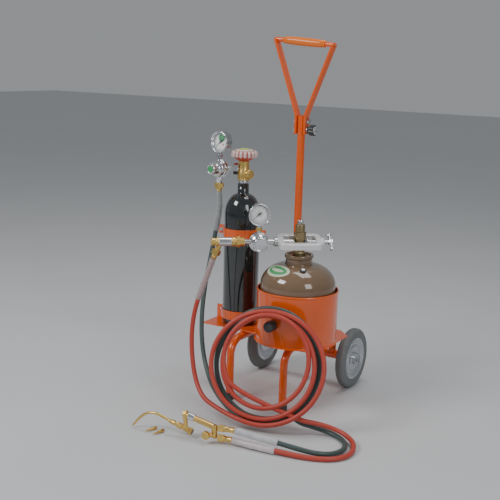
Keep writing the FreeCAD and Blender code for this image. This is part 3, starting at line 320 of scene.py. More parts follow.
def prism(height, sides=6, across=None, radius=None, flute=0.0, flutes=0):
    """A bar of regular section, fluted if asked."""
    radius = radius if radius else across / math.sqrt(3)
    part = bmesh.new()
    made = bmesh.ops.create_circle(part, cap_ends=True, segments=flutes * 6 if flutes else sides,
                                   radius=radius)
    if flutes:
        for vert in made["verts"]:
            turn = math.atan2(vert.co.y, vert.co.x) * flutes
            vert.co *= 1 - flute * (0.5 + 0.5 * math.cos(turn)) ** 2
    return thicken(part, height)


def slab(outline, height):
    """A flat plate cut to an outline."""
    part = bmesh.new()
    part.faces.new([part.verts.new((x, y, 0)) for x, y in outline])
    return thicken(part, height)


def ring_of(part, place, direction, radius, flat=1.0, across=None, sides=32):
    """One section of a bar: a circle, squashed along across."""
    tilt = Vector(direction).normalized()
    side = Vector(across or tilt.orthogonal()).normalized()
    rise = tilt.cross(side)
    turn = Matrix((side, rise, tilt)).transposed().to_4x4()
    place = Matrix.Translation(Vector(place)) @ turn @ Matrix.Diagonal((flat, 1, 1, 1))
    made = bmesh.ops.create_circle(part, cap_ends=False, segments=sides, radius=radius, matrix=place)
    found = set(made["verts"])
    return [e for e in part.edges if e.verts[0] in found and e.verts[1] in found]


def bridge(part, rings):
    """Skins each ring of edges to the next."""
    for one, two in zip(rings, rings[1:]):
        bmesh.ops.bridge_loops(part, edges=one + two)


def loft(sections, sides=32):
    """A bar through sections of (place, direction, radius, flatness, flat side)."""
    part = bmesh.new()
    rings = [ring_of(part, *section, sides=sides) for section in sections]
    bridge(part, rings)
    bmesh.ops.holes_fill(part, edges=rings[0] + rings[-1], sides=0)
    return part


def bent_tube(points, radius, bend, sides=32):
    """A round tube of straight runs, bent at each corner."""
    points = [Vector(p) for p in points]
    part = bmesh.new()
    here = points[0]
    edges = ring_of(part, here, points[1] - here, radius, sides=sides)

    def extend(edges, vector):
        grown = bmesh.ops.extrude_edge_only(part, edges=edges)
        verts = verts_of(grown["geom"])
        bmesh.ops.translate(part, verts=verts, vec=vector)
        return edges_of(e for e in edges_of(grown["geom"]) if all(v in verts for v in e.verts))

    for before, corner, after in zip(points, points[1:], points[2:]):
        one = (corner - before).normalized()
        two = (after - corner).normalized()
        turn = one.angle(two)
        reach = bend * math.tan(turn / 2)
        edges = extend(edges, corner - one * reach - here)
        axis = one.cross(two).normalized()
        centre = corner - one * reach + axis.cross(one) * bend
        spun = bmesh.ops.spin(part, geom=edges, cent=centre, axis=axis, angle=turn, steps=12)
        edges = edges_of(spun["geom_last"])
        here = corner + two * reach
    extend(edges, points[-1] - here)
    bmesh.ops.holes_fill(part, edges=[e for e in part.edges if e.is_boundary], sides=0)
    return part


def ball(radius):
    part = bmesh.new()
    bmesh.ops.create_uvsphere(part, u_segments=32, v_segments=20, radius=radius)
    return part


def new_object(name, shape, finishes):
    """Object made from a finished shape, linked to the scene."""
    mesh = bpy.data.meshes.new(name)
    shape.to_mesh(mesh)
    shape.free()
    for finish in finishes:
        mesh.materials.append(finish.material)
    thing = bpy.data.objects.new(name, mesh)
    bpy.context.collection.objects.link(thing)
    return thing


class Piece:
    """A mesh made of several shapes, drawn in millimetres."""

    def __init__(self, name):
        self.name = name
        self.mesh = bmesh.new()
        self.finishes = []

    def add(self, part, finish, place=None):
        if finish not in self.finishes:
            self.finishes.append(finish)
        bmesh.ops.remove_doubles(part, verts=part.verts, dist=1e-4)
        bmesh.ops.recalc_face_normals(part, faces=part.faces)
        for face in part.faces:
            face.material_index = self.finishes.index(finish)
            face.smooth = True
        if place is not None:
            part.transform(place)
        taken = bpy.data.meshes.new("shape")
        part.to_mesh(taken)
        part.free()
        self.mesh.from_mesh(taken)
        bpy.data.meshes.remove(taken)
        return self

    def turned(self, finish, place, direction, *profile, **how):
        """A shape turned about the line that leaves a place in a direction."""
        return self.add(lathe(*profile, **how), finish, facing(place, direction))

    def pressed(self, finish, place, direction, height, turn=0.0, **section):
        """A bar of regular section that leaves a place in a direction."""
        return self.add(prism(height, **section), finish, facing(place, direction, turn))

    def bar(self, start, end, radius, finish):
        """A plain round bar between two points."""
        start, end = Vector(start), Vector(end)
        length = (end - start).length
        return self.add(lathe((0, 0), (radius, 0), (radius, length), (0, length), steps=36), finish,
                        facing(start, end - start))

    def done(self, body, slot, *nodes, edge=0.5, segments=2):
        """Makes the object, with its edges eased, riding on a body in place of CAD nodes."""
        self.mesh.transform(Matrix.Scale(0.001, 4) @ Matrix.Translation(AXLE_MIDDLE))
        piece = new_object(self.name, self.mesh, [FINISHES[finish] for finish in self.finishes])
        if edge:
            eased = piece.modifiers.new("eased edges", "BEVEL")
            eased.width = edge * 0.001
            eased.segments = segments
            eased.limit_method = "ANGLE"
            eased.angle_limit = math.radians(32)
            eased.harden_normals = True
            eased.use_clamp_overlap = True
        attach(piece, body)
        if nodes:
            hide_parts(*nodes)
        return piece


def dress(finish, *nodes):
    """Gives CAD nodes their finish."""
    for node in nodes:
        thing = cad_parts[node]
        for slot in thing.material_slots:
            slot.link = "OBJECT"
            slot.material = FINISHES[finish].material


# ------------------------------------------------------------------ settings
class CartSizes(bpy.types.PropertyGroup):
    tube_radius: FloatProperty(name="Tube radius", description="Outer radius of the frame tube, in mm",
                               default=10.85, min=5, max=30)
    wheel_radius: FloatProperty(name="Wheel radius", description="Outer radius of the tyres, in mm",
                                default=87.5, min=40, max=200)
    hose_diameter: FloatProperty(name="Hose diameter", description="Outer diameter of each hose",
                                 default=0.0126, min=0.004, max=0.03, unit="LENGTH")
    light_power: FloatProperty(name="Light", description="Power of the main soft light, in watts",
                               default=46.0, min=1, max=500)


def colour_setting(name, description, default):
    return FloatVectorProperty(name=name, description=description, default=default, min=0, max=1,
                               subtype="COLOR")


class CartColours(bpy.types.PropertyGroup):
    frame_paint: colour_setting("Frame paint", "Gloss paint of frame and cup", (0.86, 0.115, 0.004))
    acetylene_paint: colour_setting("Acetylene paint", "Short cylinder's enamel", (0.20, 0.125, 0.07))
    oxygen_paint: colour_setting("Oxygen paint", "Tall cylinder's enamel", (0.010, 0.014, 0.016))
    brass: colour_setting("Brass", "Fittings and torch", (0.90, 0.62, 0.20))
    red_hose: colour_setting("Red hose", "Fuel gas hose", (0.48, 0.05, 0.032))
    dark_hose: colour_setting("Dark hose", "Oxygen hose", (0.035, 0.065, 0.06))
    rubber: colour_setting("Rubber", "Feet and hook cap", (0.02, 0.022, 0.024))


class CartOperator:
    """One step of the build."""
    bl_options = {"REGISTER", "UNDO"}

    def execute(self, context):
        self.build(context.scene.cart_sizes)
        return {"FINISHED"}


# ------------------------------------------------------------------ frame, deck and wheels
class CART_OT_frame(CartOperator, bpy.types.Operator):
    """Bent side tubes, rubber feet, deck plate and pole"""
    bl_idname = "cart.frame"
    bl_label = "Frame and deck"

    def build(self, sizes):
        radius = sizes.tube_radius
        rail = RAIL_TOP - radius
        tubes = Piece("bent_side_tubes")
        feet = Piece("ribbed_feet")
        for side in (-1, 1):
            x = 85.0 * side
            tubes.add(bent_tube([(x, -294, 6.5), (x, -294, rail), (x, 0, rail), (x, 0, 96)], radius, 45),
                      "orange")
            tubes.turned("orange", (x, 0, 98.5), UP, (radius - 0.5, 0), (radius + 3.5, 0), (radius, 4),
                         (radius - 0.5, 4), closed=True, steps=40)
            for y in (-230, -80):
                tubes.add(loft([((x, y + end, rail + radius - 0.3), (0, 1, 0), 3, 1, (1, 0, 0))
                                for end in (-12, 12)], 12), "orange")
            foot = [(0, 0), (12.4, 0), (13.5, 1.2), (13.5, 5), (13.0, 5.6), (13.5, 6.2), (13.5, 10),
                    (13.0, 10.6), (13.5, 11.2), (13.3, 18.5), (12.4, 20), (radius + 0.1, 20)]
            feet.turned("rubber", (x, -294, 0), UP, *foot, steps=48)
        tubes.done("chassis", "orange_paint", "side_frames", edge=0.4)
        feet.done("chassis", "dark_rubber", "foot_caps", edge=0.3)
        deck = Piece("deck_plate")
        outline = [(-222, -233), (-42, -233), (-2, -296), (166, -296), (178, -229), (178, -100),
                   (140, -62), (-184, -62), (-222, -100)]
        deck.add(slab(outline, DECK_TOP - RAIL_TOP), "orange", Matrix.Translation((0, 0, RAIL_TOP)))
        deck.done("chassis", "orange_paint", "base_plate", edge=1.2, segments=3)
        dress("orange", "axle_tube", "oxygen_upright", "oxygen_straps", "hose_hook", "pole")
        dress("zinc", "frame_bolts", "pivot_bolt", "axle_rod")
        dress("filler", "acetylene_filler")


class CART_OT_wheels(CartOperator, bpy.types.Operator):
    """Solid tyres on pressed discs, with washers and split pins"""
    bl_idname = "cart.wheels"
    bl_label = "Wheels"

    def build(self, sizes):
        reach = sizes.wheel_radius
        for name, side in (("left", -1), ("right", 1)):
            place = facing((148.0 * side, 0, AXLE_HEIGHT), (side, 0, 0))
            tyre = Piece(f"{name}_solid_tyre")
            half = [(60, 9.5), (62.5, 13), (66, 13.5), (70, 12.6), (74, 12.4), (78.5, 13.2), (82, 11.8),
                    (85.2, 9.2), (reach - 0.5, 6), (reach, 2.6), (reach - 0.9, 1.9), (reach - 0.9, 0.9),
                    (reach, 0.3)]
            profile = half + [(radius, -height) for radius, height in half[::-1]]
            tyre.add(lathe(*profile, closed=True, steps=128), "tyre", place)
            tyre.done(f"{name}_wheel", "grey_rubber", f"{name}_tyre", edge=0.3)
            disc = Piece(f"{name}_pressed_disc")
            face = [(8.1, 17.5), (15.5, 17.5), (17, 16), (17, 10.5), (19, 8.6), (23, 7.6), (27, 8.4),
                    (31, 9.8), (35, 9.6), (39, 7.4), (43, 5.6), (47, 6.0), (50, 8.4), (53, 10.4),
                    (57, 11.2), (60.2, 12.6), (61.4, 12.2), (60.6, 10.4)]
            back = [(radius, -height) for radius, height in face[::-1]]
            disc.add(lathe(*(face + back), closed=True, steps=128), "zinc", place)
            disc.done(f"{name}_wheel", "steel", f"{name}_wheel_disc", edge=0.3)
        pins = Piece("axle_washers_and_pins")
        for side in (-1, 1):
            for x in (128.2, 165.8):
                pins.turned("zinc", (side * x, 0, AXLE_HEIGHT), (side, 0, 0), (8.3, 0), (16, 0),
                            (16, 2), (8.3, 2), closed=True)
            x = side * 173.5
            pins.add(bent_tube([(x, y, AXLE_HEIGHT + rise) for y, rise in (
                (-14, 0.9), (15, 0.9), (21, 5), (23.4, 0), (21, -5), (15, -0.9), (-15, -0.9))],
                1.0, 1.8, 12), "zinc")
        pins.done("chassis", "steel", "axle_retainers", edge=0)


# ------------------------------------------------------------------ cylinders
class CART_OT_cup(CartOperator, bpy.types.Operator):
    """Cup that holds the short cylinder, and the capped hose peg on its front"""
    bl_idname = "cart.cup"
    bl_label = "Cup and hose peg"

    def build(self, sizes):
        cup = Piece("rolled_rim_cup")
        profile = [(0, 0), (106, 0), (109.5, 1.5), (111, 5), (111, 138), (112, 139.5), (112.2, 141.5),
                   (111.3, 143.5), (109.8, 144), (108.4, 143), (108, 141), (109, 138), (109, 8),
                   (106, 4), (103, 2), (0, 2)]
        cup.turned("orange", ACETYLENE + UP * DECK_TOP, UP, *profile, steps=144)
        cup.turned("orange", ACETYLENE + UP * DECK_TOP, UP, (110.5, 0), (115, 0), (113, 2.5),
                   (110.8, 4.5), (110.5, 4.5), closed=True, steps=144)
        cup.done("chassis", "orange_paint", "acetylene_cup", edge=0.3)
        cap = Piece("peg_cap")
        low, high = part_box("hook_cap")
        middle = Vector(((low[0] + high[0]) / 2, high[1], (low[2] + high[2]) / 2)) * 1000 - AXLE_MIDDLE
        long = (high[1] - low[1]) * 1000
        cap.turned("rubber", middle, (0, -1, 0), (6.1, 0), (13.2, 0), (14.3, 1.5), (14.5, 6),
                   (14.5, long - 8), (13.6, long - 4), (11, long - 1.2), (7, long - 0.2), (0, long),
                   steps=64)
        cap.done("chassis", "dark_rubber", "hook_cap", edge=0)


def dome_corner(degrees, clear=(0, 0, 0)):
    """Radius and height on the short cylinder's dome, that far up it and clear of its metal."""
    angle = math.radians(degrees)
    wider, higher, taller = clear
    return 33.5 + (69 + wider) * math.cos(angle), 152 + higher + (58 + taller) * math.sin(angle)


class CART_OT_acetylene(CartOperator, bpy.types.Operator):
    """Short cylinder with its collar, label, plug and valve"""
    bl_idname = "cart.acetylene"
    bl_label = "Acetylene cylinder"

    def build(self, sizes):
        base = ACETYLENE + UP * (DECK_TOP + 2)
        top = base + UP * 210
        dome = [dome_corner(degrees) for degrees in range(0, 91, 5)]
        shell = Piece("short_flask")
        profile = [(0, 0), (88, 0), (95, 1.2), (100.5, 6), (102.5, 14)] + dome + [(14, 210), (0, 210)]
        shell.turned("brown", base, UP, *profile, steps=144)
        shell.done("chassis", "brown_paint", "acetylene_cylinder", edge=0)
        collar = Piece("neck_collar")
        collar.turned("brown", top, UP, (13.5, 0), (37.5, 0), (36.6, 3), (36.4, 14), (37.5, 16.5),
                      (39.3, 18), (39.5, 24), (38.6, 26), (35, 26), (32, 24.5), (30, 19), (22, 16.5),
                      (13.5, 16), closed=True, steps=96)
        collar.turned("bronze", top, UP, (18.5, 15.8), (30.5, 18.6), (29.6, 21.5), (26, 22.4),
                      (18.5, 20), closed=True, steps=96)
        collar.done("chassis", "brown_paint", "acetylene_collar", edge=0.3)
        radius, height = dome_corner(62.6)
        place = base + heading(309) * radius + UP * height
        lean = heading(309) * 0.4 + UP * 0.917
        plug = Piece("safety_plug")
        plug.turned("rubber", place, lean, (0, -2), (8, -2), (8.6, 1), (8.2, 4), (6.6, 5.4), (5.6, 4.4),
                    (0, 4.2), steps=48)
        plug.turned("button", place, lean, (0, 4), (5.2, 4), (5, 5.4), (3.6, 6.2), (0, 6.4), steps=40)
        plug.done("chassis", "chrome", "fusible_plug", edge=0)
        self.label(base)
        low_fit = ACETYLENE_FITTING - top.z
        valve = Piece("valve_column")
        valve.turned("bronze", top, UP, (0, -8), (13, -8), (13, 15), (17, 17), (17, 30), (14.5, 33),
                     (13, 34), (13, low_fit), (0, low_fit), steps=64)
        valve.pressed("bronze", top + UP * (low_fit - 12), UP, 20, 9, across=26)
        valve.done("chassis", "brass", "acetylene_valve_body", edge=0.8)
        nut = Piece("gland_nut")
        seat = top + UP * (low_fit + 8)
        nut.pressed("bronze", seat, UP, 20, 9, across=30)
        nut.turned("bronze", seat, UP, (5.2, 19.5), (13, 19.5), (13, 37), (11.8, 41), (5.2, 41),
                   closed=True, steps=56)
        nut.done("chassis", "brass", "acetylene_gland_nut", edge=0.9)
        spindle = Piece("square_spindle")
        foot = seat + UP * 8
        spindle.bar(foot, foot + UP * 34, 5, "zinc")
        spindle.turned("chrome", foot, UP, (0, 33.6), (8, 33.6), (8, 42), (6.8, 45), (0, 45), steps=48)
        spindle.done("acetylene_valve_spindle", "steel", "acetylene_spindle", edge=0.5)

    def label(self, base):
        """Oval paper label that follows the dome, with plain colour bands."""
        label = Piece("dome_label")

        for finish, wide, tall, lift in (("label", 33, 20, 0.0), ("green", 26, 13, 0.25),
                                         ("label", 19, 5, 0.45)):
            part = bmesh.new()
            bmesh.ops.create_circle(part, cap_ends=True, segments=48, radius=1.0)
            bmesh.ops.triangulate(part, faces=part.faces[:])
            bmesh.ops.subdivide_edges(part, edges=part.edges[:], cuts=4, use_grid_fill=True)
            for vert in part.verts:
                radius, height = dome_corner(54 + vert.co.y * tall, (0.35, 0.3, 0.3))
                spot = base + heading(247 + vert.co.x * wide) * radius + UP * height
                vert.co = spot + (spot - base - UP * 130).normalized() * lift
            label.add(part, finish)
        label.done("chassis", "dial_white", edge=0)


class CART_OT_oxygen(CartOperator, bpy.types.Operator):
    """Tall cylinder with its neck ring, valve and lobed handwheel"""
    bl_idname = "cart.oxygen"
    bl_label = "Oxygen cylinder"

    def build(self, sizes):
        base = OXYGEN + UP * DECK_TOP
        shoulder = [(16 + 34.8 * math.cos(math.radians(t)), 315 + 62 * math.sin(math.radians(t)))
                    for t in range(0, 85, 5)]
        shell = Piece("tall_bottle")
        profile = [(0, 0), (44, 0), (48.6, 1.6), (50.6, 6), (50.8, 12)] + shoulder
        profile += [(16.6, 378), (16, 382), (16, 406), (10.2, 406), (0, 406)]
        shell.turned("black", base, UP, *profile, steps=128)
        shell.done("chassis", "black_paint", "oxygen_cylinder", edge=0)
        neck = base + UP * 406
        ring = Piece("neck_ring")
        ring.turned("zinc", neck, UP, (10.1, 0), (13.5, 0), (14.6, 2), (14.6, 8), (13.5, 10),
                    (10.1, 10), closed=True)
        ring.done("chassis", "steel", "oxygen_neck_ring", edge=0.4)
        valve = Piece("bottle_valve")
        valve.turned("brass", neck, UP, (0, -20), (9.9, -20), (9.9, 10), (17, 10), (17.4, 14),
                     (17.4, 34), (15.5, 38), (15, 50), (15, 62), (13, 65), (0, 65), steps=64)
        outlet = heading(-21)
        mouth = neck + UP * (OXYGEN_FITTING - 13 - neck.z)
        valve.turned("brass", mouth, outlet, (0, 0), (11, 0), (11, 21), (9.4, 22.5), (9.4, 24),
                     (12.6, 25), (13.2, 27), (13.2, 30), (11.4, 32), (5, 32.6), (0, 32.2), steps=56)
        for k in range(4):
            valve.turned("brass", mouth + outlet * (11 + 2.4 * k), outlet, (10.6, 0), (11.9, 0.9),
                         (10.6, 1.8), closed=True, steps=48)
        valve.done("chassis", "brass", "oxygen_valve_body", edge=0.5)
        wheel = Piece("lobed_handwheel")
        seat = neck + UP * 66
        wheel.turned("zinc", seat, UP, (0, -20), (5, -20), (5, 6), (0, 6), steps=32)
        wheel.turned("red", seat, UP, (0, 0), (20, 0), (24, 3), (29, 6.5), (0, 6.5), steps=64)
        wheel.turned("red", seat, UP, (0, 6.5), (30, 6.5), (33.5, 10), (33.5, 22), (30, 26.5),
                     (0, 26.5), steps=72)
        for k in range(18):
            out = heading(20 * k + 6)
            rib = [(seat + out * reach + UP * rise, UP, radius, 1, out) for reach, rise, radius in
                   ((29, 7.5, 3.2), (33.6, 10.5, 4.2), (33.9, 21, 4.3), (30, 26.5, 3.8))]
            wheel.add(loft(rib, 16), "handwheel")
        wheel.turned("handwheel", seat + UP * 26.6, UP, (0, 0), (27, 0), (25, 2.4), (19.5, 3.6),
                     (19, 2.4), (0, 2), steps=72)
        wheel.turned("cap", seat + UP * 27, UP, (0, 0), (18.6, 0), (17.5, 2.6), (13, 5), (7, 6.4),
                     (0, 6.9), steps=56)
        wheel.done("oxygen_valve_wheel", "steel", "oxygen_handwheel", edge=0.6)


# ------------------------------------------------------------------ handle
class CART_OT_handle(CartOperator, bpy.types.Operator):
    """Folding handle with its grip and clamp knob"""
    bl_idname = "cart.handle"
    bl_label = "Handle"

    def build(self, sizes):
        handle = Piece("folding_handle")
        upright = Matrix(((1, 0, 0), (0, 0, -1), (0, 1, 0))).to_4x4()
        tops = []
        for side in (-1, 1):
            bend = Vector((side * 14.35, 788))
            end = Vector((side * 89, 985 - side * 6.5))
            along = (end - bend).normalized()
            out = Vector((side * along.y, -side * along.x)) * 3
            outline = [(side * x, z) for x, z in ((17.35, 735.5), (15.8, 734), (12.9, 734),
                                                  (11.35, 735.5), (11.35, 788.4))]
            outline += [tuple(end + out * across + along * beyond) for across, beyond in
                        ((-1, 0), (-0.7, 2.1), (0, 3), (0.7, 2.1), (1, 0))]
            outline.append((side * 17.35, 787.5))
            place = Matrix.Translation(POLE + Vector((0, 12, 0))) @ upright
            handle.add(slab(outline, 24), "orange", place)
            tops.append(POLE + Vector((end.x, 0, end.y)))
        handle.bar(tops[0], tops[1], 6.5, "orange")
        for end, way in ((tops[0], tops[0] - tops[1]), (tops[1], tops[1] - tops[0])):
            handle.turned("orange", end + way.normalized() * 3, way, (0, 0), (6.3, 0), (5.6, 1),
                          (3, 1.6), (0, 1.7), steps=36)
        handle.done("handle", "orange_paint", "handle_frame", edge=1.1, segments=3)
        grip = Piece("barrel_grip")
        middle = (tops[0] + tops[1]) / 2
        profile = [(6.6, -64), (8.4, -64), (9.2, -62.5), (10.7, -46), (11.2, -30), (11.5, -8), (11.5, 8),
                   (11.2, 30), (10.7, 46), (9.2, 62.5), (8.4, 64), (6.6, 64)]
        grip.turned("grip", middle, tops[1] - tops[0], *profile, closed=True, steps=64)
        grip.done("handle", "orange_plastic", "grip", edge=0.3)
        knob = Piece("clamp_hand_knob")
        start = POLE + Vector((21.05, 0, CLAMP_HEIGHT))
        knob.turned("black_plastic", start, (1, 0, 0), (0, 0), (9, 0), (9.4, 6.5), (0, 6.5), steps=40)
        knob.pressed("black_plastic", start + Vector((6, 0, 0)), (1, 0, 0), 16, radius=15, flute=0.16,
                     flutes=6)
        knob.turned("chrome", start + Vector((22, 0, 0)), (1, 0, 0), (0, 0), (11.5, 0), (11, 1.6),
                    (9, 2.6), (0, 3), steps=48)
        knob.done("clamp_screw", "black_plastic", "clamp_knob", edge=1.2, segments=3)


# ------------------------------------------------------------------ yoke, regulators and gauges
YOKE_LINE = heading(39)
YOKE_FRONT = Vector((YOKE_LINE.y, -YOKE_LINE.x, 0))
YOKE_MIDDLE = ACETYLENE + UP * ACETYLENE_FITTING
REGULATOR_PLACE = -112
HOSE_END = -214
HOSE_FALL = (YOKE_LINE * -0.40 + UP * -0.92).normalized()


def on_yoke(along, out=0.0, up=0.0):
    """Place along the yoke's line from the valve, out to its front, and up."""
    return YOKE_MIDDLE + YOKE_LINE * along + YOKE_FRONT * out + UP * up


class CART_OT_yoke(CartOperator, bpy.types.Operator):
    """Cast yoke round the valve, with its tommy screw"""
    bl_idname = "cart.yoke"
    bl_label = "Yoke"

    def build(self, sizes):
        turn = (Matrix.Translation(YOKE_MIDDLE) @ Matrix.Rotation(math.radians(39), 4, "Z")
                @ Matrix.Rotation(math.radians(14), 4, "X"))
        yoke = Piece("cast_stirrup")

        def rounded(long, deep, radius):
            corners = []
            for x, y, start in ((1, 1, 0), (-1, 1, 90), (-1, -1, 180), (1, -1, 270)):
                for k in range(6):
                    t = math.radians(start + 18 * k)
                    corners.append((x * (long - radius) + radius * math.cos(t),
                                    y * (deep - radius) + radius * math.sin(t)))
            return corners

        part = bmesh.new()
        rings = []
        for x, y in zip(rounded(59, 37, 16), rounded(44, 22, 7)):
            corners = [(*x, -8.5), (*x, 8.5), (*y, 8.5), (*y, -8.5)]
            rings.append([part.verts.new(corner) for corner in corners])
        for one, two in zip(rings, rings[1:] + rings[:1]):
            for k in range(4):
                part.faces.new((one[k - 1], one[k], two[k], two[k - 1]))
        yoke.add(part, "cast", turn)
        boss = lathe((6.1, 0), (12.5, 0), (11, 8), (10.4, 10), (6.1, 10), closed=True, steps=48)
        yoke.add(boss, "cast", turn @ facing((57.5, 0, 0), (1, 0, 0)))
        seat = lathe((7.1, 0), (13, 0), (12, 3), (7.1, 3), closed=True, steps=48)
        yoke.add(seat, "cast", turn @ facing((-58, 0, 0), (-1, 0, 0)))
        yoke.done("chassis", "zinc", "yoke", edge=3.0, segments=4)
        screw = Piece("tommy_screw")
        tip = 17.0
        screw.bar(on_yoke(tip), on_yoke(79), 5.7, "zinc")
        for k in range(22):
            screw.turned("zinc", on_yoke(24 + 1.9 * k), YOKE_LINE, (5.4, 0), (6.05, 0.9), (5.4, 1.8),
                         closed=True, steps=32)
        screw.turned("zinc", on_yoke(tip), YOKE_LINE, (0, 0), (7.4, 0), (8, 1), (8, 5), (0, 5),
                     steps=40)
        screw.turned("chrome", on_yoke(78), YOKE_LINE, (0, 0), (6.6, 0), (8, 2), (8, 12), (6.4, 14),
                     (0, 14), steps=40)
        low, high = on_yoke(86, 20, -14), on_yoke(84, -20, 14)
        screw.bar(low, high, 3, "chrome")
        for end in (low, high):
            screw.add(ball(6.5), "chrome", Matrix.Translation(end))
        screw.done("yoke_clamp", "steel", "yoke_screw", edge=0.3)


GAUGE_RISE = UP * 74


def on_face(front, degrees):
    """Direction on an upright face, turned that far up from its side."""
    side = front.cross(UP).normalized()
    return side * math.cos(math.radians(degrees)) + UP * math.sin(math.radians(degrees))


def regulator(name, node, centre, front, knob_name, disc):
    """Chrome pressure regulator with a stepped bonnet and a round adjusting knob."""
    drum = Piece(name)
    body = [(0, -15), (18, -15), (22.5, -13.4), (24, -11), (24, -3.5), (26.4, -3.2), (27, -2.4),
            (27, 3.4), (26.4, 4.2), (24, 4.4), (24, 10.5), (23, 13.6), (21.6, 15.2), (18, 18),
            (15.6, 22), (14, 28.6), (13, 29), (4.3, 29), (4.3, 9), (0, 9)]
    drum.turned("chrome", centre, front, *body, steps=96)
    for k in range(6):
        rim = on_face(front, 60 * k + 15)
        drum.turned("zinc", centre + rim * 21 + front * 14.2, front, (0, 0), (2.2, 0), (2, 1.6), (0, 2),
                    steps=20)
    drum.done("chassis", "chrome", node, edge=0.3)
    knob = Piece(knob_name)
    radius, long = disc
    base = centre + front * 29.5
    knob.bar(base - front * 17.5, base + front, 4, "chrome")
    knob.pressed("chrome", base, front, long - 1, radius=radius, flute=0.07, flutes=20)
    knob.turned("chrome", base + front * (long - 1.1), front, (0, 0), (radius - 1.4, 0),
                (radius - 3, 2.2), (radius - 5, 2.6), (radius - 6, 1.6), (0, 1.2), steps=72)
    return knob, base + front * (long + 0.4)


def gauge(pieces, centre, front, patch):
    """Round gauge: pressed case, bezel, printed dial with marks, and lens."""
    case, dial, lens = pieces
    profile = [(0, -5), (20, -5), (23, -4), (27, -0.5), (28.6, 1), (28.6, 21.5), (30, 22.2), (30, 27.4),
               (29, 28.2), (27.6, 28), (27.2, 26.4), (27.2, 16), (0, 16)]
    case.turned("chrome", centre - front * 19.6, front, *profile, steps=112)
    dial_place = centre - front * 3.4
    dial.turned("dial", dial_place, front, (1.8, 0), (27.1, 0), (27.1, 0.3), (1.8, 0.3), closed=True,
                steps=80)
    for k in range(41):
        out = on_face(front, 225 - 270 * k / 40)
        long = 4.6 if k % 5 == 0 else 2.6
        mark = slab([(-0.28, 0), (0.28, 0), (0.28, long), (-0.28, long)], 0.12)
        turned = Matrix((front.cross(out), out, front)).transposed().to_4x4()
        spot = dial_place + out * (24.4 - long) + front * 0.32
        dial.add(mark, "ink", Matrix.Translation(spot) @ turned)
    if patch:
        side = on_face(front, 0)
        for ink, across, up, radius, steps in (("green", -3, 10.5, 11, 48), ("red", -8, -8, 2.6, 24)):
            dial.turned(ink, dial_place + side * across + UP * up + front * 0.45, front, (0, 0),
                        (radius, 0), (radius, 0.1), (0, 0.1), steps=steps)
    lens.turned("lens", centre + front * 5.0, front, (0, 0), (27.1, 0), (27.1, 1.2), (20, 1.8), (0, 2),
                steps=80)


def pointer(name, body, node, dial_point, front, turn):
    """Needle with its hub and counterweight."""
    along = on_face(front, turn)
    needle = Piece(name)
    turned = Matrix((along, front.cross(along), front)).transposed().to_4x4()
    blade = slab([(-8, -1.3), (4, -0.9), (21, -0.2), (21, 0.2), (4, 0.9), (-8, 1.3)], 0.6)
    needle.add(blade, "ink", Matrix.Translation(dial_point + front * 1.7) @ turned)
    needle.turned("black_plastic", dial_point + front * 1.4, front, (0, -3.4), (1.4, -3.4), (1.4, 0),
                  (2.6, 0), (2.4, 1.6), (0, 1.8), steps=32)
    needle.done(body, "black_plastic", node, edge=0)


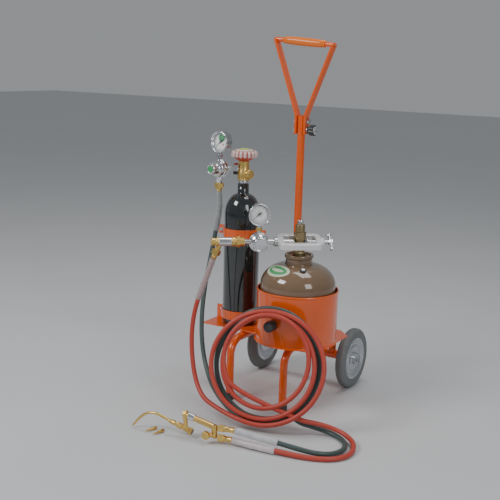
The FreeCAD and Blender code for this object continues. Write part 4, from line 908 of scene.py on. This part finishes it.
class CART_OT_regulators(CartOperator, bpy.types.Operator):
    """Both regulators with their gauges, stems and brass fittings"""
    bl_idname = "cart.regulators"
    bl_label = "Regulators and gauges"

    def build(self, sizes):
        case = Piece("gauge_shells")
        dial = Piece("gauge_faces")
        lens = Piece("gauge_glasses")
        stems = Piece("regulator_joints")
        centre = on_yoke(REGULATOR_PLACE)
        knob = regulator("acetylene_regulator", "acetylene_regulator_body", centre, YOKE_FRONT,
                         "acetylene_hand_screw", (21, 15))[0]
        knob.done("acetylene_adjuster", "chrome", "acetylene_adjusting_knob", edge=0.8, segments=3)
        gauge((case, dial, lens), centre + GAUGE_RISE, YOKE_FRONT, False)
        pointer("acetylene_pointer_needle", "acetylene_pointer", "acetylene_needle",
                centre + GAUGE_RISE - YOKE_FRONT * 3.6, YOKE_FRONT, -40)
        stems.bar(on_yoke(-15.2), on_yoke(REGULATOR_PLACE), 6.8, "chrome")
        stems.turned("zinc", on_yoke(-71), YOKE_LINE, (6.8, 0), (10.5, 0), (12, 1.2), (12, 8.8),
                     (10.5, 10), (6.8, 10), closed=True)
        valve = OXYGEN + UP * OXYGEN_FITTING
        front = heading(262)
        face = heading(263)
        oxygen = valve + OXYGEN_INLET * OXYGEN_REACH
        stems.bar(valve + OXYGEN_INLET * 13, oxygen, 6.5, "chrome")
        stems.pressed("chrome", valve + OXYGEN_INLET * 16.2, OXYGEN_INLET, 14, 12, across=29)
        for middle in (centre, oxygen):
            stems.bar(middle + UP * 22, middle + UP * 46, 5.8, "chrome")
            finish = "brass" if middle is centre else "chrome"
            stems.pressed(finish, middle + UP * 30, UP, 9, across=15)
        stems.done("chassis", "steel", "regulator_stems", edge=0.6)
        knob, end = regulator("oxygen_regulator", "oxygen_regulator_body", oxygen, front,
                              "oxygen_hand_screw", (16, 10))
        knob.turned("green", end - front * 0.2, front, (0, 0), (9.6, 0), (9, 0.8), (0, 1), steps=48)
        knob.done("oxygen_adjuster", "chrome", "oxygen_adjusting_knob", edge=0.8, segments=3)
        gauge((case, dial, lens), oxygen + GAUGE_RISE, face, True)
        pointer("oxygen_pointer_needle", "oxygen_pointer", "oxygen_needle",
                oxygen + GAUGE_RISE - face * 3.6, face, -40)
        case.done("chassis", "chrome", "gauge_cases", edge=0)
        dial.done("chassis", "dial_white", "gauge_dials", edge=0)
        lens.done("chassis", "clear_glass", "gauge_lenses", edge=0)
        self.fittings(oxygen)

    def fittings(self, oxygen):
        """Unions, flashback arrestor and hose outlets."""
        joints = Piece("acetylene_unions")
        joints.bar(on_yoke(-134), on_yoke(-151), 6.5, "chrome")
        joints.pressed("brass", on_yoke(-150), -YOKE_LINE, 13, 8, across=20)
        joints.pressed("brass", on_yoke(-162.5), -YOKE_LINE, 9.5, 8, across=26)
        joints.turned("brass", on_yoke(-162.5), -YOKE_LINE, (0, 9), (10.5, 9), (10.5, 12), (12.6, 12.6),
                      (12.6, 21.4), (11.4, 22), (0, 22), steps=56)
        root = on_yoke(HOSE_END)
        joints.pressed("brass", root + HOSE_FALL * 24, HOSE_FALL, 13, 14, across=22)
        self.barb(joints, root + HOSE_FALL * 24 + HOSE_FALL * 12.8, HOSE_FALL, 12)
        joints.done("chassis", "brass", "acetylene_outlet", edge=0.9)
        arrestor = Piece("arrestor_barrel")
        arrestor.turned("chrome", on_yoke(-184.5), -YOKE_LINE, (0, 0), (11, 0), (12, 1), (12, 33.6),
                        (11, 34.6), (0, 34.6), steps=64)
        arrestor.turned("brass", on_yoke(-184.5), -YOKE_LINE, (0, 34), (11.4, 34), (11.8, 36),
                        (11.8, 41), (10.2, 43), (10.2, 54), (8.4, 55.6), (0, 55.6), steps=56)
        arrestor.bar(root, root + HOSE_FALL * 24, 7, "brass")
        arrestor.done("chassis", "chrome", "flashback_arrestor", edge=0.5)
        outlet = Piece("oxygen_outlet_nut")
        outlet.turned("chrome", oxygen, UP, (0, -20), (9.5, -20), (9.5, -40), (8.4, -42), (0, -42),
                      steps=48)
        outlet.pressed("brass", oxygen - UP * 56, UP, 14, 20, across=24)
        self.barb(outlet, oxygen - UP * 56, -UP, 9)
        outlet.done("chassis", "brass", "oxygen_outlet", edge=0.8)

    def barb(self, piece, start, along, long):
        """Ribbed tail that the hose is pushed on to."""
        piece.turned("brass", start, along, (0, 0), (7.6, 0), (8, 1.4), (7.2, 2.4), (8, 3.6),
                     (7.2, 4.8), (8, 6), (7.4, long), (0, long), steps=44)


# ------------------------------------------------------------------ hoses
# Routes of the hanging and lying stretches, in metres from the floor under the axle's middle.
RED_DROP = [(-0.119, -0.362, 0.372), (-0.129, -0.370, 0.338), (-0.141, -0.381, 0.292),
            (-0.148, -0.390, 0.240), (-0.145, -0.399, 0.186), (-0.132, -0.411, 0.134),
            (-0.112, -0.425, 0.091), (-0.084, -0.441, 0.062), (-0.052, -0.455, 0.048)]
DARK_DROP = [(-0.191, -0.202, 0.535), (-0.193, -0.207, 0.490), (-0.196, -0.219, 0.437),
             (-0.198, -0.238, 0.370), (-0.197, -0.261, 0.304), (-0.190, -0.284, 0.240),
             (-0.176, -0.306, 0.180), (-0.155, -0.326, 0.128), (-0.128, -0.346, 0.090),
             (-0.096, -0.370, 0.064), (-0.060, -0.395, 0.049), (-0.026, -0.421, 0.044)]
RED_TAIL = [(0.138, -0.554, 0.0115), (0.180, -0.550, 0.0105), (0.222, -0.543, 0.0098),
            (0.263, -0.535, 0.0075), (0.303, -0.524, 0.007), (0.339, -0.505, 0.007),
            (0.362, -0.471, 0.007), (0.363, -0.430, 0.007), (0.345, -0.391, 0.012),
            (0.308, -0.370, 0.019), (0.266, -0.371, 0.027), (0.231, -0.393, 0.037),
            (0.205, -0.416, 0.044)]
DARK_TAIL = [(0.135, -0.547, 0.034), (0.170, -0.540, 0.030), (0.205, -0.532, 0.026),
             (0.248, -0.524, 0.021), (0.296, -0.511, 0.014), (0.329, -0.483, 0.009),
             (0.341, -0.440, 0.007), (0.327, -0.398, 0.007), (0.293, -0.371, 0.007),
             (0.253, -0.366, 0.011), (0.219, -0.378, 0.019), (0.192, -0.397, 0.029)]
COIL_MIDDLE = Vector((0.085, -0.399, 0.1605))
COIL_RISE = Vector((-45, 95, 290)).normalized()
COIL_LEVEL = (heading(15) - COIL_RISE * heading(15).dot(COIL_RISE)).normalized()
COIL_FRONT = COIL_LEVEL.cross(COIL_RISE)


def coil_turns(loops, first, last, depth):
    """Points of loose turns: each loop is an oval of (shifts, half width, half height, outward)."""
    points = []
    count = len(loops)
    number = round((last - first) / 360 * 14)
    for k in range(number + 1):
        share = k / number * count
        one = loops[min(int(share), count - 1)]
        two = loops[min(int(share) + 1, count - 1)]
        mix = share - int(share) if share < count else 0.0
        x, y, wide, tall, out = [a + (b - a) * mix for a, b in zip(one, two)]
        turn = math.radians(first + (last - first) * k / number)
        points.append(COIL_MIDDLE + COIL_LEVEL * (x + wide * math.cos(turn)) * 0.001
                      + COIL_RISE * (y + tall * math.sin(turn)) * 0.001
                      + COIL_FRONT * (depth + out) * 0.001)
    return points


class CART_OT_hoses(CartOperator, bpy.types.Operator):
    """Twin hoses, coiled on the peg, with their clear sleeves"""
    bl_idname = "cart.hoses"
    bl_label = "Hoses"

    def build(self, sizes):
        red_start = on_yoke(HOSE_END) + HOSE_FALL * (24 + 25)
        dark_start = OXYGEN + OXYGEN_INLET * OXYGEN_REACH + UP * (OXYGEN_FITTING - 65)
        red_loops = [(4, -5, 158, 150, 2), (5, -5, 160, 150, 0), (6, 1, 136, 137, -2),
                     (6, 4, 119, 126, 0), (6, 16, 116, 118, 3)]
        dark_loops = [(-2, 2, 150, 152, 0), (2, 4, 146, 151, 1), (5, 2, 133, 140, 0),
                      (6, 0, 142, 140, -3)]
        for name, drop, loops, tail, start, end, depth, span in (
                ("red_hose", RED_DROP, red_loops, RED_TAIL, red_start, torch_at(279, 13, -4), 9,
                 (-118, 942)),
                ("dark_hose", DARK_DROP, dark_loops, DARK_TAIL, dark_start, torch_at(284, 38, -6), -9,
                 (-116, 660))):
            route = drop + coil_turns(loops, *span, depth) + tail[::-1]
            centre = [metres(start), *[Vector(p) + AXLE_MIDDLE * 0.001 for p in route], metres(end)]
            hose, line = self.run(name, centre, sizes.hose_diameter)
            covers = [self.sheath(f"{name}_upper_sleeve", line, 0.125),
                      self.sheath(f"{name}_lower_sleeve", line[::-1], 0.115)]
            fitting = self.hose_nut(f"{name}_torch_nut", end)
            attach(hose, "chassis")
            "red_rubber" if name == "red_hose" else "dark_rubber"
            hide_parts(f"{name}_drop", f"{name}_coil", f"{name}_tail")

    def run(self, name, points, diameter):
        """One hose as a smooth curve, and the line that it follows."""
        curve = bpy.data.curves.new(name, "CURVE")
        curve.dimensions = "3D"
        spline = curve.splines.new("NURBS")
        spline.points.add(len(points) - 1)
        for control, place in zip(spline.points, points):
            control.co = (*place, 1)
        spline.order_u = 3
        spline.use_endpoint_u = True
        curve.resolution_u = 5
        hose = bpy.data.objects.new(name, curve)
        bpy.context.collection.objects.link(hose)
        bare = bpy.data.meshes.new_from_object(hose)
        line = [vert.co.copy() for vert in bare.vertices]
        bpy.data.meshes.remove(bare)
        curve.bevel_depth = diameter / 2
        curve.bevel_resolution = 5
        curve.use_fill_caps = True
        curve.materials.append(FINISHES[name].material)
        return hose, line

    def sheath(self, name, line, long):
        """Clear sleeve round the first stretch of a hose, a little crinkled."""
        kept = [line[0]]
        run = 0.0
        for a, b in zip(line, line[1:]):
            run += (b - a).length
            if run > long:
                break
            if (b - kept[-1]).length > 0.004:
                kept.append(b)
        part = bmesh.new()
        rings = []
        side = UP
        for k, place in enumerate(kept):
            along = (kept[min(k + 1, len(kept) - 1)] - kept[max(k - 1, 0)]).normalized()
            side = (side - along * side.dot(along))
            side = side.normalized() if side.length > 0.01 else along.orthogonal().normalized()
            radius = 0.0083 + 0.0006 * math.sin(k * 2.1)
            rings.append(ring_of(part, place, along, radius, across=side, sides=24))
        bridge(part, rings)
        bmesh.ops.recalc_face_normals(part, faces=part.faces)
        for face in part.faces:
            face.smooth = True
        sleeve = new_object(name, part, [FINISHES["pale_sheath" if "lower" in name else "sheath"]])
        wall = sleeve.modifiers.new("wall", "SOLIDIFY")
        wall.thickness = 0.0006
        wall.offset = 0
        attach(sleeve, "chassis")
        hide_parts("hose_sleeves")
        return sleeve

    def hose_nut(self, name, end):
        """Brass nut that joins a hose to the torch."""
        start = torch_at(239, 14.5, -0.5) if end.z < 25 else torch_at(239, 40, -1.0)
        along = (end - start).normalized()
        nut = Piece(name)
        nut.pressed("brass", start + along * 2, along, 16, 10, across=17)
        long = (end - start).length - 17
        nut.turned("brass", start + along * 17, along, (0, 0), (7.4, 0), (7.8, 2), (6.8, 4),
                   (6.6, long - 9), (7.4, long - 7), (7.4, long - 1), (6.6, long), (0, long), steps=44)
        return nut.done("chassis", "brass", "torch_hose_nuts", edge=0.7)


# ------------------------------------------------------------------ torch
TORCH_LINE = heading(10)
TORCH_OUT = Vector((TORCH_LINE.y, -TORCH_LINE.x, 0))


def torch_at(along, height, out=0.0):
    """Place along the torch from its tip, above the floor, and out to its front."""
    return Vector((-180, -609, height)) + TORCH_LINE * along + TORCH_OUT * out


def smooth_line(route, count):
    """Points evenly spread on a smooth line through a route."""
    points = []
    for k in range(count + 1):
        share = k / count * (len(route) - 1)
        i = min(int(share), len(route) - 2)
        before = route[max(i - 1, 0)]
        after = route[min(i + 2, len(route) - 1)]
        t = share - i
        points.append(0.5 * (2 * route[i] + (route[i + 1] - before) * t
                             + (2 * before - 5 * route[i] + 4 * route[i + 1] - after) * t * t
                             + (3 * route[i] - before - 3 * route[i + 1] + after) * t ** 3))
    return points


class CART_OT_torch(CartOperator, bpy.types.Operator):
    """Brass torch lying on the floor, and its spare tips"""
    bl_idname = "cart.torch"
    bl_label = "Torch"

    def build(self, sizes):
        mix = (torch_at(150, 22.5) - torch_at(100, 38)).normalized()
        neck = Piece("swan_neck_tip")
        line = smooth_line([torch_at(*spot) for spot in (
            (2, 4.2), (20, 26), (42, 44), (66, 48.5), (90, 42), (112, 34.4))], 40)
        rings = []
        for k, place in enumerate(line):
            along = line[min(k + 1, 40)] - line[max(k - 1, 0)]
            rings.append((place, along, 2.2 + min(k, 8) * 0.16, 1.0, TORCH_OUT))
        neck.add(loft(rings, 24), "brass")
        joint = torch_at(128, 29.4)
        neck.turned("brass", torch_at(108, 35.6), mix, (0, -6), (3.4, -6), (4.6, 0), (6, 2), (6, 12),
                    (6.6, 13), (6.6, 15), (5.6, 16), (5.6, 24), (0, 24), steps=40)
        neck.pressed("brass", joint + mix * 2, mix, 13, 20, across=13.6)
        neck.turned("brass", joint + mix * 15, mix, (0, 0), (5.4, 0), (5.4, 4), (4.6, 5), (0, 5),
                    steps=32)
        neck.done("chassis", "brass", "torch_neck", edge=0.4)
        body = Piece("torch_handle")
        block = joint + mix * 20
        body.turned("brass", block, mix, (0, 0), (6, 0), (7, 1), (7, 13), (6, 14), (2.6, 14), (2.6, 6),
                    (0, 6), steps=44)
        body.bar(block + mix * 6, torch_at(150, 60), 5.6, "brass")
        body.pressed("brass", torch_at(146, 61), TORCH_LINE, 9, 12, across=17)
        barrel = torch_at(232, 40) - torch_at(152, 60)
        grip = [(torch_at(along, height), barrel, radius, 0.86, UP) for along, height, radius in
                ((152, 60, 7.4), (158, 58.5, 8.4), (222, 42.5, 8.4), (230, 40.5, 7.4))]
        body.add(loft(grip, 40), "brass")
        # Chrome band at the front of the grip: painted highlight, a silver stretch standing in for light
        # falling on the brass handle.
        body.turned("chrome", torch_at(159, 58.3), barrel, (7.3, 0), (8.7, 0.8), (8.7, 17), (7.3, 18),
                    closed=True, steps=44)
        valve_block = [(torch_at(231, height), -UP, radius, 1, TORCH_OUT) for height, radius in
                       ((46, 6.2), (43, 7.5), (15, 7.5), (12.5, 6.2))]
        body.add(loft(valve_block, 40), "brass")
        body.bar(torch_at(229, 18.5), torch_at(217.5, 21.4, 9.6), 5, "brass")
        body.done("chassis", "brass", "torch_body", edge=0.5)
        self.knob("torch_fuel_knob", "torch_acetylene_valve", "torch_acetylene_knob",
                  torch_at(215, 22, 12) + TORCH_OUT * 0.6, TORCH_OUT, 10.5, 9, "brass")
        self.knob("torch_oxygen_valve_knob", "torch_oxygen_valve", "torch_oxygen_knob",
                  block + mix * 14.6, mix, 9, 10, "black_plastic")
        self.tips()

    def knob(self, name, body, node, start, along, radius, long, middle):
        """Knurled valve knob on its spindle."""
        knob = Piece(name)
        knob.bar(start - along * 4.6, start + along * 1, 2.4, "brass")
        knob.pressed("brass", start, along, long, radius=radius, flute=0.09, flutes=24)
        knob.turned(middle, start + along * (long - 0.2), along, (0, 0), (radius - 2, 0),
                    (radius - 3, 0.9), (0, 0.5), steps=40)
        knob.done(body, "brass", node, edge=0.5)

    def tips(self):
        """Two spare tips side by side on the floor."""
        tips = Piece("spare_nozzles")
        for start, end in (((-129, -620), (-119, -586)), ((-101, -624), (-94, -588))):
            first = Vector((*start, 4.6))
            along = Vector((*end, 4.6)) - first
            long = along.length
            tips.turned("brass", first, along, (0, 0), (0.9, 0), (1.7, 0.8), (2.4, long * 0.3),
                        (3.1, long * 0.55), (3.3, long * 0.6), (4.4, long * 0.62), (4.4, long * 0.9),
                        (3.6, long), (0, long), steps=40)
        tips.done("chassis", "brass", "spare_tips", edge=0.2)


# ------------------------------------------------------------------ stage
class CART_OT_stage(CartOperator, bpy.types.Operator):
    """Pale floor, soft lights and the camera"""
    bl_idname = "cart.stage"
    bl_label = "Stage"

    def build(self, sizes):
        scene = bpy.context.scene
        part = bmesh.new()
        bmesh.ops.create_grid(part, x_segments=2, y_segments=2, size=14)
        paper = Finish("floor_paper", IOR=1.4)
        cloud = paper.noise(3, 4)
        paper.feed(Base_Color=paper.mix(cloud, (0.60, 0.61, 0.62), (0.66, 0.67, 0.68)),
                   Roughness=cloud * 0.1 + 0.6)
        new_object("studio_floor", part, [paper])
        world = bpy.data.worlds.new("soft_room")
        scene.world = world
        world.use_nodes = True
        sky = world.node_tree.nodes["Background"].inputs
        sky["Color"].default_value = (0.80, 0.83, 0.86, 1)
        sky["Strength"].default_value = 0.36
        for name, place, power, wide, tall in (
                ("key", (-1.3, -2.2, 2.3), sizes.light_power, 1.2, 0.9),
                ("fill", (2.6, -1.4, 1.7), sizes.light_power * 0.45, 1.0, 1.4),
                ("top", (0.3, 0.4, 2.9), sizes.light_power * 0.5, 1.6, 1.0)):
            lamp = bpy.data.lights.new(name, "AREA")
            lamp.shape = "RECTANGLE"
            lamp.size = wide
            lamp.size_y = tall
            lamp.energy = power
            light = bpy.data.objects.new(name, lamp)
            light.location = place
            aim = Vector((0, -0.1, 0.45)) - light.location
            light.rotation_euler = aim.to_track_quat("-Z", "Y").to_euler()
            bpy.context.collection.objects.link(light)
        self.camera(scene)

    def camera(self, scene):
        """Camera turned off straight ahead, looking slightly down."""
        turn, tilt, roll = (math.radians(v) for v in (31.19, 11.91, 1.74))
        right = Vector((math.cos(turn), math.sin(turn), 0))
        back = Vector((right.y, -right.x, 0)) * math.cos(tilt) + UP * math.sin(tilt)
        above = back.cross(right)
        across = right * math.cos(roll) + above * math.sin(roll)
        rise = above * math.cos(roll) - right * math.sin(roll)
        lens = bpy.data.cameras.new("camera")
        lens.sensor_width = 36
        lens.lens = 66.7
        camera = bpy.data.objects.new("camera", lens)
        place = Matrix((across, rise, back)).transposed().to_4x4()
        place.translation = metres((1228.5, -2375.8, 946.9))
        camera.matrix_world = place
        bpy.context.collection.objects.link(camera)
        scene.camera = camera


class CART_PT_panel(bpy.types.Panel):
    """Sidebar panel with every step of the build"""
    bl_idname = "CART_PT_panel"
    bl_label = "Torch cart"
    bl_space_type = "VIEW_3D"
    bl_region_type = "UI"
    bl_category = "Torch cart"

    def draw(self, context):
        for group in (context.scene.cart_sizes, context.scene.cart_colours):
            for name in group.bl_rna.properties.keys():
                if name not in ("rna_type", "name"):
                    self.layout.prop(group, name)
        for operator in STEPS:
            self.layout.operator(operator.bl_idname)


STEPS = (CART_OT_frame, CART_OT_wheels, CART_OT_cup, CART_OT_acetylene, CART_OT_oxygen, CART_OT_handle,
         CART_OT_yoke, CART_OT_regulators, CART_OT_hoses, CART_OT_torch, CART_OT_stage)
CLASSES = (CartSizes, CartColours, *STEPS, CART_PT_panel)


def register():
    for cls in CLASSES:
        bpy.utils.register_class(cls)
    bpy.types.Scene.cart_sizes = PointerProperty(type=CartSizes)
    bpy.types.Scene.cart_colours = PointerProperty(type=CartColours)


def unregister():
    del bpy.types.Scene.cart_sizes
    del bpy.types.Scene.cart_colours
    for cls in reversed(CLASSES):
        bpy.utils.unregister_class(cls)


def main():
    register()
    FINISHES.update(make_finishes(bpy.context.scene.cart_colours))
    for step in STEPS:
        group, name = step.bl_idname.split(".")
        getattr(getattr(bpy.ops, group), name)()


if __name__ == "__main__":
    main()
